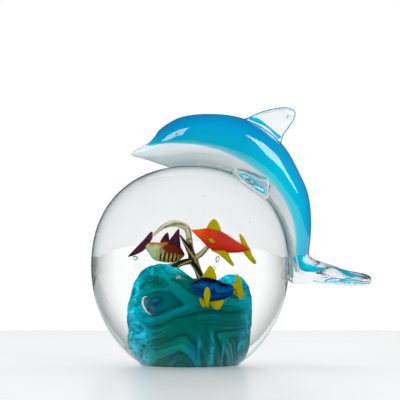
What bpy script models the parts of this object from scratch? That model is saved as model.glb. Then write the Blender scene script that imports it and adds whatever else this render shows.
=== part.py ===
"""Glass figurine: a clear ball with a reef, three fish and a coral cast inside, and a dolphin arched over it.

Units are millimetres times MM. The origin is the centre of the ball's flat base. +Z is up, +X runs from the
dolphin's beak to its tail, and -Y is the dolphin's left side.
"""

import math
from typing import NamedTuple

import bmesh
import bpy
from mathutils import Matrix, Vector

MM = 0.001
GAP = 0.3  # clearance between glass pieces that touch

# Ball
BALL_RADIUS = 49.5
BALL_CENTRE_Z = 49.5
BALL_TOP_REACH = 50.0  # from the widest level up to the top
BALL_LOW_REACH = 56.5  # from the widest level down to where the curve would close
BALL_TOP_POWER = 2.2  # above 2 the shoulders are fuller than an ellipse
BASE_BEVEL = 1.0
BALL_STEPS = 40

# Reef
REEF_CENTRE_Y = 1.0
REEF_DEPTH_RATIO = 0.74  # depth over width
REEF_PROFILE = (  # radius, height
    (0.0, 45.5), (13.0, 44.4), (17.5, 42.0), (20.0, 38.0), (21.2, 32.0),
    (21.8, 22.0), (21.0, 11.6), (19.4, 5.0), (17.5, 0.0), (0.0, 0.0),
)
REEF_LEFT_HUMP = ((-9.0, 1.0, 38.0), (11.6, 11.5, 13.4))  # centre, radii
REEF_RIGHT_HUMP = ((13.8, 1.0, 37.6), (7.2, 9.5, 9.2))

# Dolphin stations about the ball's centre: angle from vertical in degrees, inner and outer radius, half width
DOLPHIN_SKIN = (
    (-27.8, 62.0, 63.4, 1.0), (-24.0, 58.3, 64.0, 2.6), (-20.0, 55.0, 64.9, 4.4), (-17.0, 53.2, 66.0, 6.0),
    (-13.0, 51.2, 69.6, 8.2), (-9.0, 48.5, 72.0, 9.8), (-3.0, 48.5, 74.4, 11.2), (7.0, 48.5, 76.5, 12.6),
    (18.0, 48.5, 78.3, 13.2), (30.0, 48.5, 78.3, 13.2), (39.0, 48.5, 75.9, 12.7), (49.0, 48.5, 72.0, 11.3),
    (58.0, 48.5, 69.4, 9.9), (68.0, 48.5, 65.3, 8.3), (79.0, 48.5, 61.1, 6.6), (84.5, 48.8, 59.7, 5.8),
)
DOLPHIN_CORE = (
    (-22.5, 59.0, 62.9, 1.5), (-18.0, 56.2, 63.9, 3.8), (-13.0, 54.8, 67.8, 6.3), (-9.0, 54.6, 70.4, 8.0),
    (-3.0, 54.6, 72.8, 9.6), (7.0, 55.0, 75.0, 10.8), (18.0, 55.8, 76.8, 11.2), (30.0, 56.4, 76.6, 11.0),
    (39.0, 56.4, 74.2, 10.4), (49.0, 56.0, 70.4, 9.2), (58.0, 55.8, 67.8, 7.8), (68.0, 55.3, 63.8, 6.2),
    (79.0, 54.5, 59.7, 4.6), (84.5, 54.0, 58.3, 3.9),
)
DOLPHIN_BELLY_LINE = (  # angle, radius where the white belly meets the blue back
    (-30.0, 64.0), (-18.0, 62.7), (-10.0, 62.4), (0.5, 61.7), (10.0, 60.4), (25.0, 60.2),
    (44.0, 59.7), (56.0, 57.8), (66.0, 56.5), (75.0, 55.2), (83.0, 53.2),
)
DOLPHIN_RINGS = 26
DOLPHIN_SIDES = 18
EYE_RADIUS = 0.6
EYE_ANGLE = -5.7
EYE_REACH = 65.8
EYE_SIDE = 9.75

# Tail: lower point and upper point of each section in the XZ plane, half width
TAIL_STATIONS = (
    ((48.9, 53.8), (59.5, 54.9), 5.8), ((48.4, 47.6), (62.2, 52.9), 6.2), ((50.2, 41.2), (66.2, 51.4), 7.6),
    ((60.0, 40.8), (70.6, 50.0), 10.4), ((70.0, 40.4), (76.0, 48.4), 14.6), ((78.5, 39.9), (81.8, 47.2), 18.6),
    ((85.4, 39.7), (86.6, 46.3), 20.4), ((89.0, 41.2), (89.8, 44.6), 18.6),
)
TAIL_NOTCH_X = 80.0
TAIL_NOTCH_LENGTH = 12.0
TAIL_NOTCH_HALF_WIDTH = 8.0

DORSAL_FIN_OUTLINE = (
    (25.0, 122.8), (35.5, 127.4), (46.6, 129.0), (52.3, 126.9), (50.0, 119.5), (45.6, 111.0), (34.0, 114.5),
)
DORSAL_FIN_THICKNESS = 4.6

# Left flipper: leading point, trailing point, thickness
FLIPPER_STATIONS = (
    ((20.5, -7.5, 99.5), (39.0, -6.5, 94.5), 6.0), ((21.6, -15.5, 94.5), (40.3, -12.5, 90.8), 5.0),
    ((27.0, -21.2, 89.4), (39.4, -17.5, 86.6), 4.2), ((34.0, -20.6, 85.2), (38.0, -19.0, 82.8), 2.2),
)

CORAL_TRUNK = ((4.4, 1.0, 41.5), (2.8, 1.0, 48.2), (1.3, 1.0, 52.6), (0.2, 1.0, 57.0), (0.0, 1.2, 60.4))
CORAL_LEFT_ARM = ((1.2, 1.0, 52.4), (-2.7, 0.4, 51.0), (-7.0, -0.4, 49.4))
CORAL_RIGHT_ARM = ((1.2, 1.0, 53.0), (3.9, 1.2, 54.2), (6.6, 1.6, 57.8))
CORAL_SPIKE = ((0.6, 1.0, 54.6), (-0.9, 0.4, 57.2), (-3.1, -0.4, 60.8))
CORAL_ARCH = ((0.0, 1.2, 59.6), (-0.6, 1.4, 63.6), (-4.7, 1.6, 64.9), (-8.6, 1.6, 63.8), (-12.6, 1.8, 60.6))


class Finish(NamedTuple):
    """A glass colour for one node."""

    colour: tuple[float, float, float]
    roughness: float
    transmission: float


class Fin(NamedTuple):
    """A flat fin: its outline in the XZ plane, its thickness and its sideways distance from the fish."""

    name: str
    outline: tuple[tuple[float, float], ...]
    thickness: float = 1.2
    side: float = 0.0


class Fish(NamedTuple):
    """A fish: nose and tail root in the XZ plane, its depth y, its girth and its fins.

    Each girth entry is the fraction from nose to tail, half height, half width and rise above the axis.
    """

    name: str
    nose: tuple[float, float]
    tail: tuple[float, float]
    y: float
    girth: tuple[tuple[float, float, float, float], ...]
    fins: tuple[Fin, ...]
    stem: tuple[tuple[float, float, float], ...]


CLEAR = Finish((0.93, 0.97, 0.97), 0.02, 1.0)
TEAL = Finish((0.0, 0.32, 0.34), 0.15, 0.2)
BLUE = Finish((0.0, 0.45, 0.80), 0.05, 0.3)
WHITE = Finish((0.78, 0.84, 0.86), 0.2, 0.0)
BLACK = Finish((0.02, 0.02, 0.03), 0.1, 0.0)
OLIVE = Finish((0.30, 0.24, 0.08), 0.1, 0.3)
IVORY = Finish((0.80, 0.82, 0.70), 0.1, 0.6)
YELLOW = Finish((0.72, 0.60, 0.0), 0.15, 0.0)
RED = Finish((0.75, 0.09, 0.04), 0.1, 0.1)
NAVY = Finish((0.02, 0.12, 0.42), 0.1, 0.1)
AMBER = Finish((0.45, 0.20, 0.05), 0.1, 0.3)
MAROON = Finish((0.16, 0.03, 0.08), 0.15, 0.0)

ORANGE_FISH = Fish(
    name="orange_fish",
    nose=(0.8, 63.2),
    tail=(20.6, 56.5),
    y=-7.0,
    girth=(
        (0.0, 0.5, 0.4, 0.0), (0.14, 1.6, 1.3, -0.1), (0.36, 3.4, 2.5, -0.5),
        (0.54, 3.3, 2.6, -0.5), (0.76, 2.1, 1.8, -0.1), (1.0, 1.0, 0.9, 0.0),
    ),
    fins=(
        Fin("dorsal_fin", ((6.4, 62.0), (6.6, 65.4), (8.6, 67.0), (10.4, 65.2), (11.4, 61.2))),
        Fin("upper_tail_lobe", ((19.0, 56.6), (18.3, 59.4), (18.0, 61.9), (20.0, 60.4), (21.0, 57.0))),
        Fin("lower_tail_lobe", ((19.2, 56.2), (21.0, 52.6), (23.8, 50.9), (23.4, 53.6), (20.9, 56.3))),
        Fin("pelvic_fin", ((9.0, 58.0), (9.4, 55.0), (12.2, 52.8), (15.4, 50.3), (14.6, 53.4), (13.2, 57.6))),
        Fin("left_side_fin", ((6.9, 60.2), (8.0, 60.2), (9.2, 59.0), (8.2, 58.8)), 0.8, -3.35),
        Fin("right_side_fin", ((6.9, 60.2), (8.0, 60.2), (9.2, 59.0), (8.2, 58.8)), 0.8, 3.35),
    ),
    stem=((10.6, -7.0, 57.5), (10.0, -7.0, 52.1), (8.2, -7.0, 47.3), (7.6, -6.0, 40.0)),
)

BLUE_FISH = Fish(
    name="blue_fish",
    nose=(0.3, 41.6),
    tail=(17.6, 39.3),
    y=-20.0,
    girth=(
        (0.0, 0.5, 0.4, 0.0), (0.2, 2.9, 1.7, -0.2), (0.42, 5.0, 2.8, -0.5),
        (0.62, 4.7, 2.7, -0.6), (0.82, 3.0, 1.8, -0.4), (1.0, 1.3, 1.0, 0.0),
    ),
    fins=(
        Fin("dorsal_fin", ((5.0, 43.4), (5.8, 47.8), (8.0, 50.0), (10.0, 47.6), (10.6, 43.0))),
        Fin("tail_fin", ((16.2, 39.4), (18.2, 42.6), (19.2, 46.2), (20.6, 43.4), (20.2, 41.0),
                         (21.4, 38.0), (20.4, 35.6), (18.4, 37.4))),
        Fin("left_pectoral_fin", ((7.2, 40.6), (8.2, 37.6), (7.2, 32.6), (5.8, 36.0)), 1.0, -3.75),
        Fin("right_pectoral_fin", ((7.2, 40.6), (8.2, 37.6), (7.2, 32.6), (5.8, 36.0)), 1.0, 3.75),
        Fin("front_pelvic_fin", ((3.6, 37.6), (3.4, 34.0), (5.6, 32.4), (6.2, 36.4))),
        Fin("rear_pelvic_fin", ((9.0, 36.6), (8.8, 33.6), (11.6, 31.4), (14.2, 32.6), (13.4, 36.8))),
    ),
    stem=((7.4, -20.0, 37.0), (7.4, -19.8, 29.0), (6.4, -17.5, 20.0), (5.8, -10.0, 13.0)),
)

AMBER_FISH = Fish(
    name="amber_fish",
    nose=(-1.4, 53.0),
    tail=(-14.4, 57.6),
    y=6.0,
    girth=(
        (0.0, 0.8, 0.6, 0.0), (0.18, 2.1, 1.6, 0.1), (0.42, 2.9, 2.3, 0.0),
        (0.66, 2.5, 2.1, -0.4), (0.86, 1.5, 1.2, -0.2), (1.0, 0.9, 0.7, 0.0),
    ),
    fins=(
        Fin("front_dorsal_spine", ((-7.0, 55.4), (-5.6, 59.4), (-3.6, 62.8), (-3.4, 58.8), (-3.2, 54.6))),
        Fin("rear_dorsal_spine", ((-10.0, 56.6), (-8.6, 59.6), (-7.2, 61.2), (-7.2, 58.6), (-7.9, 56.6))),
        Fin("tail_fin", ((-13.6, 57.4), (-12.2, 61.6), (-15.0, 59.6), (-17.4, 56.0), (-19.6, 53.2), (-16.2, 55.0)),
            1.4),
    ),
    stem=((-16.4, 6.0, 55.8), (-17.2, 6.0, 51.1), (-14.9, 5.4, 45.2), (-13.0, 4.0, 40.0)),
)

FISH_SIDES = 10
STEM_RADIUS = 0.7
FIN_FINISH = {"orange_fish": YELLOW, "blue_fish": YELLOW, "amber_fish": MAROON}
BODY_FINISH = {"orange_fish": RED, "blue_fish": NAVY, "amber_fish": AMBER}


def new_collection(name):
    """Make a collection of the scene."""
    collection = bpy.data.collections.new(name)
    bpy.context.scene.collection.children.link(collection)
    return collection


def finish_material(name, finish):
    """Make the Principled material of one node."""
    material = bpy.data.materials.new(name)
    material.use_nodes = True
    shader = material.node_tree.nodes["Principled BSDF"]
    shader.inputs["Base Color"].default_value = (*finish.colour, 1.0)
    shader.inputs["Metallic"].default_value = 0.0
    shader.inputs["Roughness"].default_value = finish.roughness
    shader.inputs["IOR"].default_value = 1.5
    shader.inputs["Transmission Weight"].default_value = finish.transmission
    material.diffuse_color = (*finish.colour, 1.0)
    return material


def mesh_object(name, mesh):
    """Put a mesh in the parts collection, under the figurine's empty."""
    piece = bpy.data.objects.new(name, mesh)
    parts.objects.link(piece)
    piece.parent = root
    return piece


def loft(name, rings):
    """Skin a row of equal rings of points and close both ends."""
    build = bmesh.new()
    loops = [[build.verts.new(Vector(point) * MM) for point in ring] for ring in rings]
    for low, high in zip(loops, loops[1:]):
        for index, vertex in enumerate(low):
            following = (index + 1) % len(low)
            build.faces.new((vertex, low[following], high[following], high[index]))
    build.faces.new(loops[0])
    build.faces.new(loops[-1])
    bmesh.ops.recalc_face_normals(build, faces=build.faces)
    mesh = bpy.data.meshes.new(name)
    build.to_mesh(mesh)
    build.free()
    return mesh_object(name, mesh)


def ring_points(centre, across, side, count, power=2.0):
    """Points round a superellipse whose half axes are the vectors across and side."""
    points = []
    for index in range(count):
        angle = 2 * math.pi * (index + 0.5) / count
        reach = (abs(math.cos(angle)) ** power + abs(math.sin(angle)) ** power) ** (-1 / power)
        points.append(centre + across * (reach * math.cos(angle)) + side * (reach * math.sin(angle)))
    return points


def between(table, place):
    """Read a table of rows at a fractional row number, along a smooth curve through the rows."""
    index = min(int(place), len(table) - 2)
    part = place - index
    rows = [table[min(max(index + step, 0), len(table) - 1)] for step in (-1, 0, 1, 2)]
    values = []
    for a, b, c, d in zip(*rows):
        slope_in = (c - a) / 2
        slope_out = (d - b) / 2
        blend = (2 * part**3 - 3 * part**2 + 1) * b + (part**3 - 2 * part**2 + part) * slope_in
        values.append(blend + (3 * part**2 - 2 * part**3) * c + (part**3 - part**2) * slope_out)
    return values


def radial(angle):
    """Unit vector in the XZ plane, at this angle in degrees from vertical towards +X."""
    return Vector((math.sin(math.radians(angle)), 0, math.cos(math.radians(angle))))


def arched_loft(name, stations):
    """Loft of oval sections that stand on the ball's centre like spokes."""
    centre = Vector((0, 0, BALL_CENTRE_Z))
    rings = []
    for step in range(DOLPHIN_RINGS + 1):
        angle, inner, outer, half_width = between(stations, step / DOLPHIN_RINGS * (len(stations) - 1))
        spoke = radial(angle)
        middle = centre + spoke * (inner + outer) / 2
        rings.append(ring_points(middle, spoke * (outer - inner) / 2, Vector((0, half_width, 0)), DOLPHIN_SIDES))
    return loft(name, rings)


def turned(name, profile, steps):
    """Turn a profile of radius and height, given from the top down, about Z."""
    mesh = bpy.data.meshes.new(name)
    points = [(radius * MM, 0, height * MM) for radius, height in profile]
    mesh.from_pydata(points, [(i, i + 1) for i in range(len(points) - 1)], [])
    piece = mesh_object(name, mesh)
    screw = piece.modifiers.new("turn", "SCREW")
    screw.steps = steps
    screw.render_steps = steps
    screw.use_merge_vertices = True
    screw.merge_threshold = 0.00001
    return piece


def baked(piece):
    """Replace an object, with its modifiers or its curve, by the plain mesh that it evaluates to."""
    bpy.context.view_layer.update()
    evaluated = piece.evaluated_get(bpy.context.evaluated_depsgraph_get())
    mesh = bpy.data.meshes.new_from_object(evaluated)
    build = bmesh.new()
    build.from_mesh(mesh)
    bmesh.ops.remove_doubles(build, verts=build.verts, dist=1e-6)
    bmesh.ops.recalc_face_normals(build, faces=build.faces)
    build.transform(piece.matrix_world)
    build.to_mesh(mesh)
    build.free()
    name = piece.name
    bpy.data.objects.remove(piece)
    mesh.name = name
    return mesh_object(name, mesh)


def tube(name, points, radius, end_radius=None):
    """A round rod through the points, tapering to end_radius."""
    curve = bpy.data.curves.new(name, "CURVE")
    curve.dimensions = "3D"
    curve.bevel_depth = radius * MM
    curve.bevel_resolution = 2
    curve.use_fill_caps = True
    spline = curve.splines.new("POLY")
    stops = 2 * (len(points) - 1)
    spline.points.add(stops)
    for index in range(stops + 1):
        place = between(points, index / 2)
        taper = 1 + ((end_radius or radius) / radius - 1) * index / stops
        spline.points[index].co = (*(Vector(place) * MM), 1)
        spline.points[index].radius = taper
    return baked(mesh_object(name, curve))


def flat_piece(name, outline, thickness, y):
    """A flat piece with a smooth outline in the XZ plane, centred on y."""
    curve = bpy.data.curves.new(name, "CURVE")
    curve.dimensions = "2D"
    curve.fill_mode = "BOTH"
    curve.extrude = thickness / 2 * MM
    curve.resolution_u = 3
    spline = curve.splines.new("BEZIER")
    spline.bezier_points.add(len(outline) - 1)
    spline.use_cyclic_u = True
    for knot, (x, z) in zip(spline.bezier_points, outline):
        knot.co = (x * MM, z * MM, 0)
        knot.handle_left_type = "AUTO"
        knot.handle_right_type = "AUTO"
    piece = mesh_object(name, curve)
    piece.location = (0, y * MM, 0)
    piece.rotation_euler = (math.pi / 2, 0, 0)
    return baked(piece)


def ellipsoid(name, centre, radii, segments=20, rings=12):
    """A sphere stretched to three radii."""
    build = bmesh.new()
    bmesh.ops.create_uvsphere(build, u_segments=segments, v_segments=rings, radius=MM)
    build.transform(Matrix.Diagonal((*radii, 1)))
    mesh = bpy.data.meshes.new(name)
    build.to_mesh(mesh)
    build.free()
    piece = mesh_object(name, mesh)
    piece.location = Vector(centre) * MM
    return baked(piece)


def as_cutter(piece):
    """Move a piece to the cutters, out of sight."""
    parts.objects.unlink(piece)
    cutters.objects.link(piece)
    piece.hide_render = True
    piece.display_type = "WIRE"
    return piece


def swollen(piece, by=GAP):
    """A cutter with the piece's shape, larger by this much all round."""
    build = bmesh.new()
    build.from_mesh(piece.data)
    build.normal_update()
    shifts = [vertex.normal * min(vertex.calc_shell_factor(), 2.0) * by * MM for vertex in build.verts]
    for vertex, shift in zip(build.verts, shifts):
        vertex.co += shift
    bmesh.ops.triangulate(build, faces=build.faces)
    mesh = bpy.data.meshes.new(piece.name + "_room")
    build.to_mesh(mesh)
    build.free()
    return as_cutter(mesh_object(piece.name + "_room", mesh))


def combine(piece, other, operation):
    """Give a piece a Boolean modifier."""
    boolean = piece.modifiers.new(operation.lower(), "BOOLEAN")
    boolean.operation = operation
    boolean.solver = "EXACT"
    boolean.object = other


def cut_by(piece, *others):
    """Take the cutters' shapes out of a piece."""
    for other in others:
        combine(piece, other, "DIFFERENCE")
    return piece


def set_finish(piece, finish):
    """Give a piece its own material, and smooth shading away from its edges."""
    piece.data.materials.clear()
    piece.data.materials.append(finish_material(piece.name, finish))
    piece.data.shade_smooth()
    piece.data.set_sharp_from_angle(angle=math.radians(50))


def ball_profile(steps_per_half):
    """Radius and height down the ball: full shoulders above the widest level, an ellipse below it."""
    profile = []
    for index in range(steps_per_half + 1):
        angle = math.pi / 2 * index / steps_per_half
        radius = BALL_RADIUS * math.sin(angle) ** (2 / BALL_TOP_POWER)
        rise = BALL_TOP_REACH * max(math.cos(angle), 0) ** (2 / BALL_TOP_POWER)
        profile.append((radius, BALL_CENTRE_Z + rise))
    lowest = math.asin((BALL_CENTRE_Z - BASE_BEVEL) / BALL_LOW_REACH)
    for index in range(1, steps_per_half + 1):
        angle = lowest * index / steps_per_half
        profile.append((BALL_RADIUS * math.cos(angle), BALL_CENTRE_Z - BALL_LOW_REACH * math.sin(angle)))
    profile.append((profile[-1][0] - BASE_BEVEL, 0.0))
    profile.append((0.0, 0.0))
    return profile


def make_ball():
    """The ball before its cavities are cut."""
    ball = baked(turned("globe", ball_profile(12), BALL_STEPS))
    set_finish(ball, CLEAR)
    return ball


def make_reef():
    """The reef lump: a turned body flattened front to back, and two humps on its top."""
    reef = baked(turned("reef_core", REEF_PROFILE, 28))
    for vertex in reef.data.vertices:
        vertex.co.y = vertex.co.y * REEF_DEPTH_RATIO + REEF_CENTRE_Y * MM
    humps = []
    for name, (centre, radii) in (("left_hump", REEF_LEFT_HUMP), ("right_hump", REEF_RIGHT_HUMP)):
        hump = as_cutter(ellipsoid(name, centre, radii))
        combine(reef, hump, "UNION")
        humps.append(hump)
    reef = baked(reef)
    set_finish(reef, TEAL)
    rooms.append(swollen(reef))
    return rooms[-1]


def make_coral(reef_room):
    """The coral twig: a trunk out of the reef, two arms, a spike and the pale arch on top."""
    trunk = tube("coral_trunk", CORAL_TRUNK, 1.7, 1.2)
    trunk_room = swollen(trunk)
    rooms.append(trunk_room)
    set_finish(cut_by(trunk, reef_room), OLIVE)
    branches = (
        ("coral_left_arm", CORAL_LEFT_ARM, 1.4, 1.5, OLIVE),
        ("coral_right_arm", CORAL_RIGHT_ARM, 1.0, 0.8, IVORY),
        ("coral_spike", CORAL_SPIKE, 1.2, 0.4, OLIVE),
        ("coral_arch", CORAL_ARCH, 1.0, 0.5, IVORY),
    )
    earlier = [reef_room, trunk_room]
    for name, points, radius, end_radius, finish in branches:
        branch = tube(name, points, radius, end_radius)
        room = swollen(branch)
        set_finish(cut_by(branch, *earlier), finish)
        earlier.append(room)
        rooms.append(room)


def make_fish(fish, reef_room):
    """One fish: its body, its fins and the clear stem that holds it on the reef."""
    nose = Vector((fish.nose[0], fish.y, fish.nose[1]))
    tail = Vector((fish.tail[0], fish.y, fish.tail[1]))
    along = (tail - nose).normalized()
    side = Vector((0, 0, 1)).cross(along).normalized()
    up = along.cross(side)
    rings = []
    for fraction, half_height, half_width, rise in fish.girth:
        middle = nose.lerp(tail, fraction) + up * rise
        rings.append(ring_points(middle, up * half_height, side * half_width, FISH_SIDES))
    body = loft(f"{fish.name}_body", rings)
    set_finish(body, BODY_FINISH[fish.name])
    earlier = [swollen(body)]
    for fin in fish.fins:
        piece = flat_piece(f"{fish.name}_{fin.name}", fin.outline, fin.thickness, fish.y + fin.side)
        room = swollen(piece)
        set_finish(cut_by(piece, *(earlier if fin.side == 0 else earlier[:1])), FIN_FINISH[fish.name])
        earlier.append(room)
    stem = tube(f"{fish.name}_stem", fish.stem, STEM_RADIUS)
    stem_room = swollen(stem)
    set_finish(cut_by(stem, reef_room, *earlier), CLEAR)
    rooms.extend([*earlier, stem_room])


def make_dolphin(ball_room):
    """The dolphin: clear skin, blue back, white belly, eyes, fins and tail."""
    casing = arched_loft("dolphin_casing", DOLPHIN_SKIN)
    casing_room = swollen(casing)
    back = arched_loft("dolphin_back", DOLPHIN_CORE)
    core_room = swollen(back)
    belly = copied(back, "dolphin_belly")
    divider = as_cutter(belly_divider())
    combine(belly, divider, "INTERSECT")
    cut_by(back, swollen(divider))
    eye_rooms = make_eyes(casing_room)
    cut_by(casing, ball_room, core_room, *eye_rooms)
    set_finish(casing, CLEAR)
    set_finish(back, BLUE)
    set_finish(belly, WHITE)
    tail_room = make_tail(ball_room)
    fin = flat_piece("dolphin_dorsal_fin", DORSAL_FIN_OUTLINE, DORSAL_FIN_THICKNESS, 0.0)
    set_finish(cut_by(fin, casing_room), CLEAR)
    for name, mirror in (("dolphin_left_flipper", 1), ("dolphin_right_flipper", -1)):
        flipper = flipper_blade(name, mirror)
        set_finish(cut_by(flipper, casing_room, ball_room, tail_room), CLEAR)


def copied(piece, name):
    """A copy of a piece with its own mesh."""
    mesh = piece.data.copy()
    mesh.name = name
    return mesh_object(name, mesh)


def belly_divider():
    """A wide slab whose outer face follows the line between the belly and the back."""
    centre = Vector((0, 0, BALL_CENTRE_Z))
    half_width = Vector((0, BALL_RADIUS / 2, 0))
    rings = []
    for step in range(DOLPHIN_RINGS + 1):
        angle, outer = between(DOLPHIN_BELLY_LINE, step / DOLPHIN_RINGS * (len(DOLPHIN_BELLY_LINE) - 1))
        spoke = radial(angle)
        inner = BALL_RADIUS - 5
        corners = ((inner, -1), (outer, -1), (outer, 1), (inner, 1))
        rings.append([centre + spoke * reach + half_width * turn for reach, turn in corners])
    return loft("belly_divider", rings)


def make_eyes(casing_room):
    """A dark bead on each side of the head. Returns the rooms that they need in the casing."""
    eye_rooms = []
    for name, turn in (("dolphin_left_eye", -1), ("dolphin_right_eye", 1)):
        centre = Vector((0, 0, BALL_CENTRE_Z)) + radial(EYE_ANGLE) * EYE_REACH + Vector((0, turn * EYE_SIDE, 0))
        eye = ellipsoid(name, centre, (EYE_RADIUS,) * 3, 10, 6)
        set_finish(eye, BLACK)
        eye_rooms.append(swollen(eye))
    return eye_rooms


def make_tail(ball_room):
    """The tail stock and the two flukes: lens sections that widen, with a notch in the end."""
    rings = []
    steps = 16
    table = [(*low, *high, half_width) for low, high, half_width in TAIL_STATIONS]
    for step in range(steps + 1):
        low_x, low_z, high_x, high_z, half_width = between(table, step / steps * (len(table) - 1))
        low = Vector((low_x, 0, low_z))
        high = Vector((high_x, 0, high_z))
        rings.append(ring_points((low + high) / 2, (high - low) / 2, Vector((0, half_width, 0)), 16))
    tail = loft("dolphin_tail_flukes", rings)
    tail_room = swollen(tail)
    far_end = TAIL_NOTCH_X + TAIL_NOTCH_LENGTH
    corners = ((TAIL_NOTCH_X, 0), (far_end, -TAIL_NOTCH_HALF_WIDTH), (far_end, TAIL_NOTCH_HALF_WIDTH))
    notch = loft("tail_notch", [[Vector((x, y, z)) for x, y in corners] for z in (20, 70)])
    set_finish(cut_by(tail, ball_room, as_cutter(notch)), CLEAR)
    return tail_room


def flipper_blade(name, mirror):
    """A flipper: lens sections between its leading and trailing edges, lying over the ball."""
    centre = Vector((0, 0, BALL_CENTRE_Z))
    flip = Matrix.Diagonal((1, mirror, 1))
    table = [(*lead, *trail, thickness) for lead, trail, thickness in FLIPPER_STATIONS]
    steps = 8
    rings = []
    for step in range(steps + 1):
        *edges, thickness = between(table, step / steps * (len(table) - 1))
        lead = flip @ Vector(edges[:3])
        trail = flip @ Vector(edges[3:])
        middle = (lead + trail) / 2
        chord = (trail - lead) / 2
        outward = middle - centre
        normal = (outward - outward.project(chord)).normalized()
        rings.append(ring_points(middle, chord, normal * thickness / 2, 12))
    return loft(name, rings)


for leftover in list(bpy.data.objects):
    bpy.data.objects.remove(leftover)

parts = new_collection("dolphin_reef_figurine")
cutters = new_collection("cutters")
root = bpy.data.objects.new("figurine", None)
parts.objects.link(root)
rooms = []

globe = make_ball()
globe_room = swollen(globe)
reef_cutter = make_reef()
make_coral(reef_cutter)
for each_fish in (ORANGE_FISH, BLUE_FISH, AMBER_FISH):
    make_fish(each_fish, reef_cutter)
make_dolphin(globe_room)

cavities = new_collection("cavities")
for each_room in rooms:
    cavities.objects.link(each_room)
hollow = globe.modifiers.new("cavities", "BOOLEAN")
hollow.operation = "DIFFERENCE"
hollow.solver = "EXACT"
hollow.operand_type = "COLLECTION"
hollow.collection = cavities
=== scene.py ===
"""Looks of the glass figurine: a clear ball with a reef, fish and coral cast inside, and a dolphin over it.

Lengths in the tables are millimetres in the part's own frame: +Z up, +X from the dolphin's beak to its tail,
-Y towards the dolphin's left side, and the origin at the centre of the ball's flat base.
"""

import logging
import math
from collections.abc import Sequence
from dataclasses import dataclass, field
from enum import Enum

import bpy
import numpy as np
from mathutils import Matrix, Vector, noise


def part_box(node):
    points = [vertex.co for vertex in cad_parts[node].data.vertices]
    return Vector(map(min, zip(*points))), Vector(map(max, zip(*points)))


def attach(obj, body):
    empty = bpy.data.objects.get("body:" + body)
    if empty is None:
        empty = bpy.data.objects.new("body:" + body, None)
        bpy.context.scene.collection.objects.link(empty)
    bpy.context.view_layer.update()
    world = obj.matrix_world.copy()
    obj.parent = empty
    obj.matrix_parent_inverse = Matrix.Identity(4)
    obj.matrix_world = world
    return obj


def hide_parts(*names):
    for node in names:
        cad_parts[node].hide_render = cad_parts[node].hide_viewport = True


MM = 0.001
LOG = logging.getLogger("figurine")

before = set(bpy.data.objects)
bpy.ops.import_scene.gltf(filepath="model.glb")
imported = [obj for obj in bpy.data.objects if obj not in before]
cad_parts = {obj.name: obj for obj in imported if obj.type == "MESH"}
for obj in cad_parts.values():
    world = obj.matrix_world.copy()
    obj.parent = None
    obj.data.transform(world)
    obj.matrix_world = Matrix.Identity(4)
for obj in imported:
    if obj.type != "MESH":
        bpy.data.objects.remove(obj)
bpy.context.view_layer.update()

Colour = tuple[float, float, float]
Row = tuple[float, ...]
Socket = bpy.types.NodeSocket
Stops = Sequence[tuple[float, Colour]]

WHITE: Colour = (1.0, 1.0, 1.0)
PAINTED_ROD_SIDES = 12


# ---------------------------------------------------------------------------------------------------------
# Shared shapes


def between(table: Sequence[Row], place: float) -> list[float]:
    """Read a table at a fractional row number, on a smooth curve through its rows.

    Args:
        table: Rows of equal length.
        place: Row number, from 0 to the last row.

    Returns:
        The values of the curve there.
    """
    index = min(max(int(place), 0), len(table) - 2)
    part = place - index
    rows = [table[min(max(index + step, 0), len(table) - 1)] for step in (-1, 0, 1, 2)]
    values = []
    for a, b, c, d in zip(*rows):
        slope_in, slope_out = (c - a) / 2, (d - b) / 2
        start = (2 * part**3 - 3 * part**2 + 1) * b + (part**3 - 2 * part**2 + part) * slope_in
        values.append(start + (3 * part**2 - 2 * part**3) * c + (part**3 - part**2) * slope_out)
    return values


def resample(table: Sequence[Row], count: int) -> list[list[float]]:
    """Read count + 1 evenly spaced rows from a table, as between does.

    Args:
        table: Rows of equal length.
        count: Number of steps from the first row to the last.

    Returns:
        The rows of the smooth curve.
    """
    return [between(table, step / count * (len(table) - 1)) for step in range(count + 1)]


def smooth_step(low: float, high: float, value: float) -> float:
    """Rise smoothly from 0 at low to 1 at high."""
    part = min(max((value - low) / (high - low), 0.0), 1.0)
    return part * part * (3 - 2 * part)


def smooth_min(first: float | np.ndarray, second: float | np.ndarray, reach: float) -> float | np.ndarray:
    """Smaller of two numbers, with a rounded change from one to the other.

    Args:
        first: One number, or a row of them.
        second: The other.
        reach: Difference over which the change is rounded.

    Returns:
        The smaller number, or a little less where the two are close.
    """
    part = np.clip(0.5 + 0.5 * (second - first) / reach, 0, 1)
    return second * (1 - part) + first * part - reach * part * (1 - part)


def spoke(angle: float) -> Vector:
    """Unit vector in the XZ plane, at this angle in degrees from vertical towards +X."""
    return Vector((math.sin(math.radians(angle)), 0.0, math.cos(math.radians(angle))))


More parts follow.
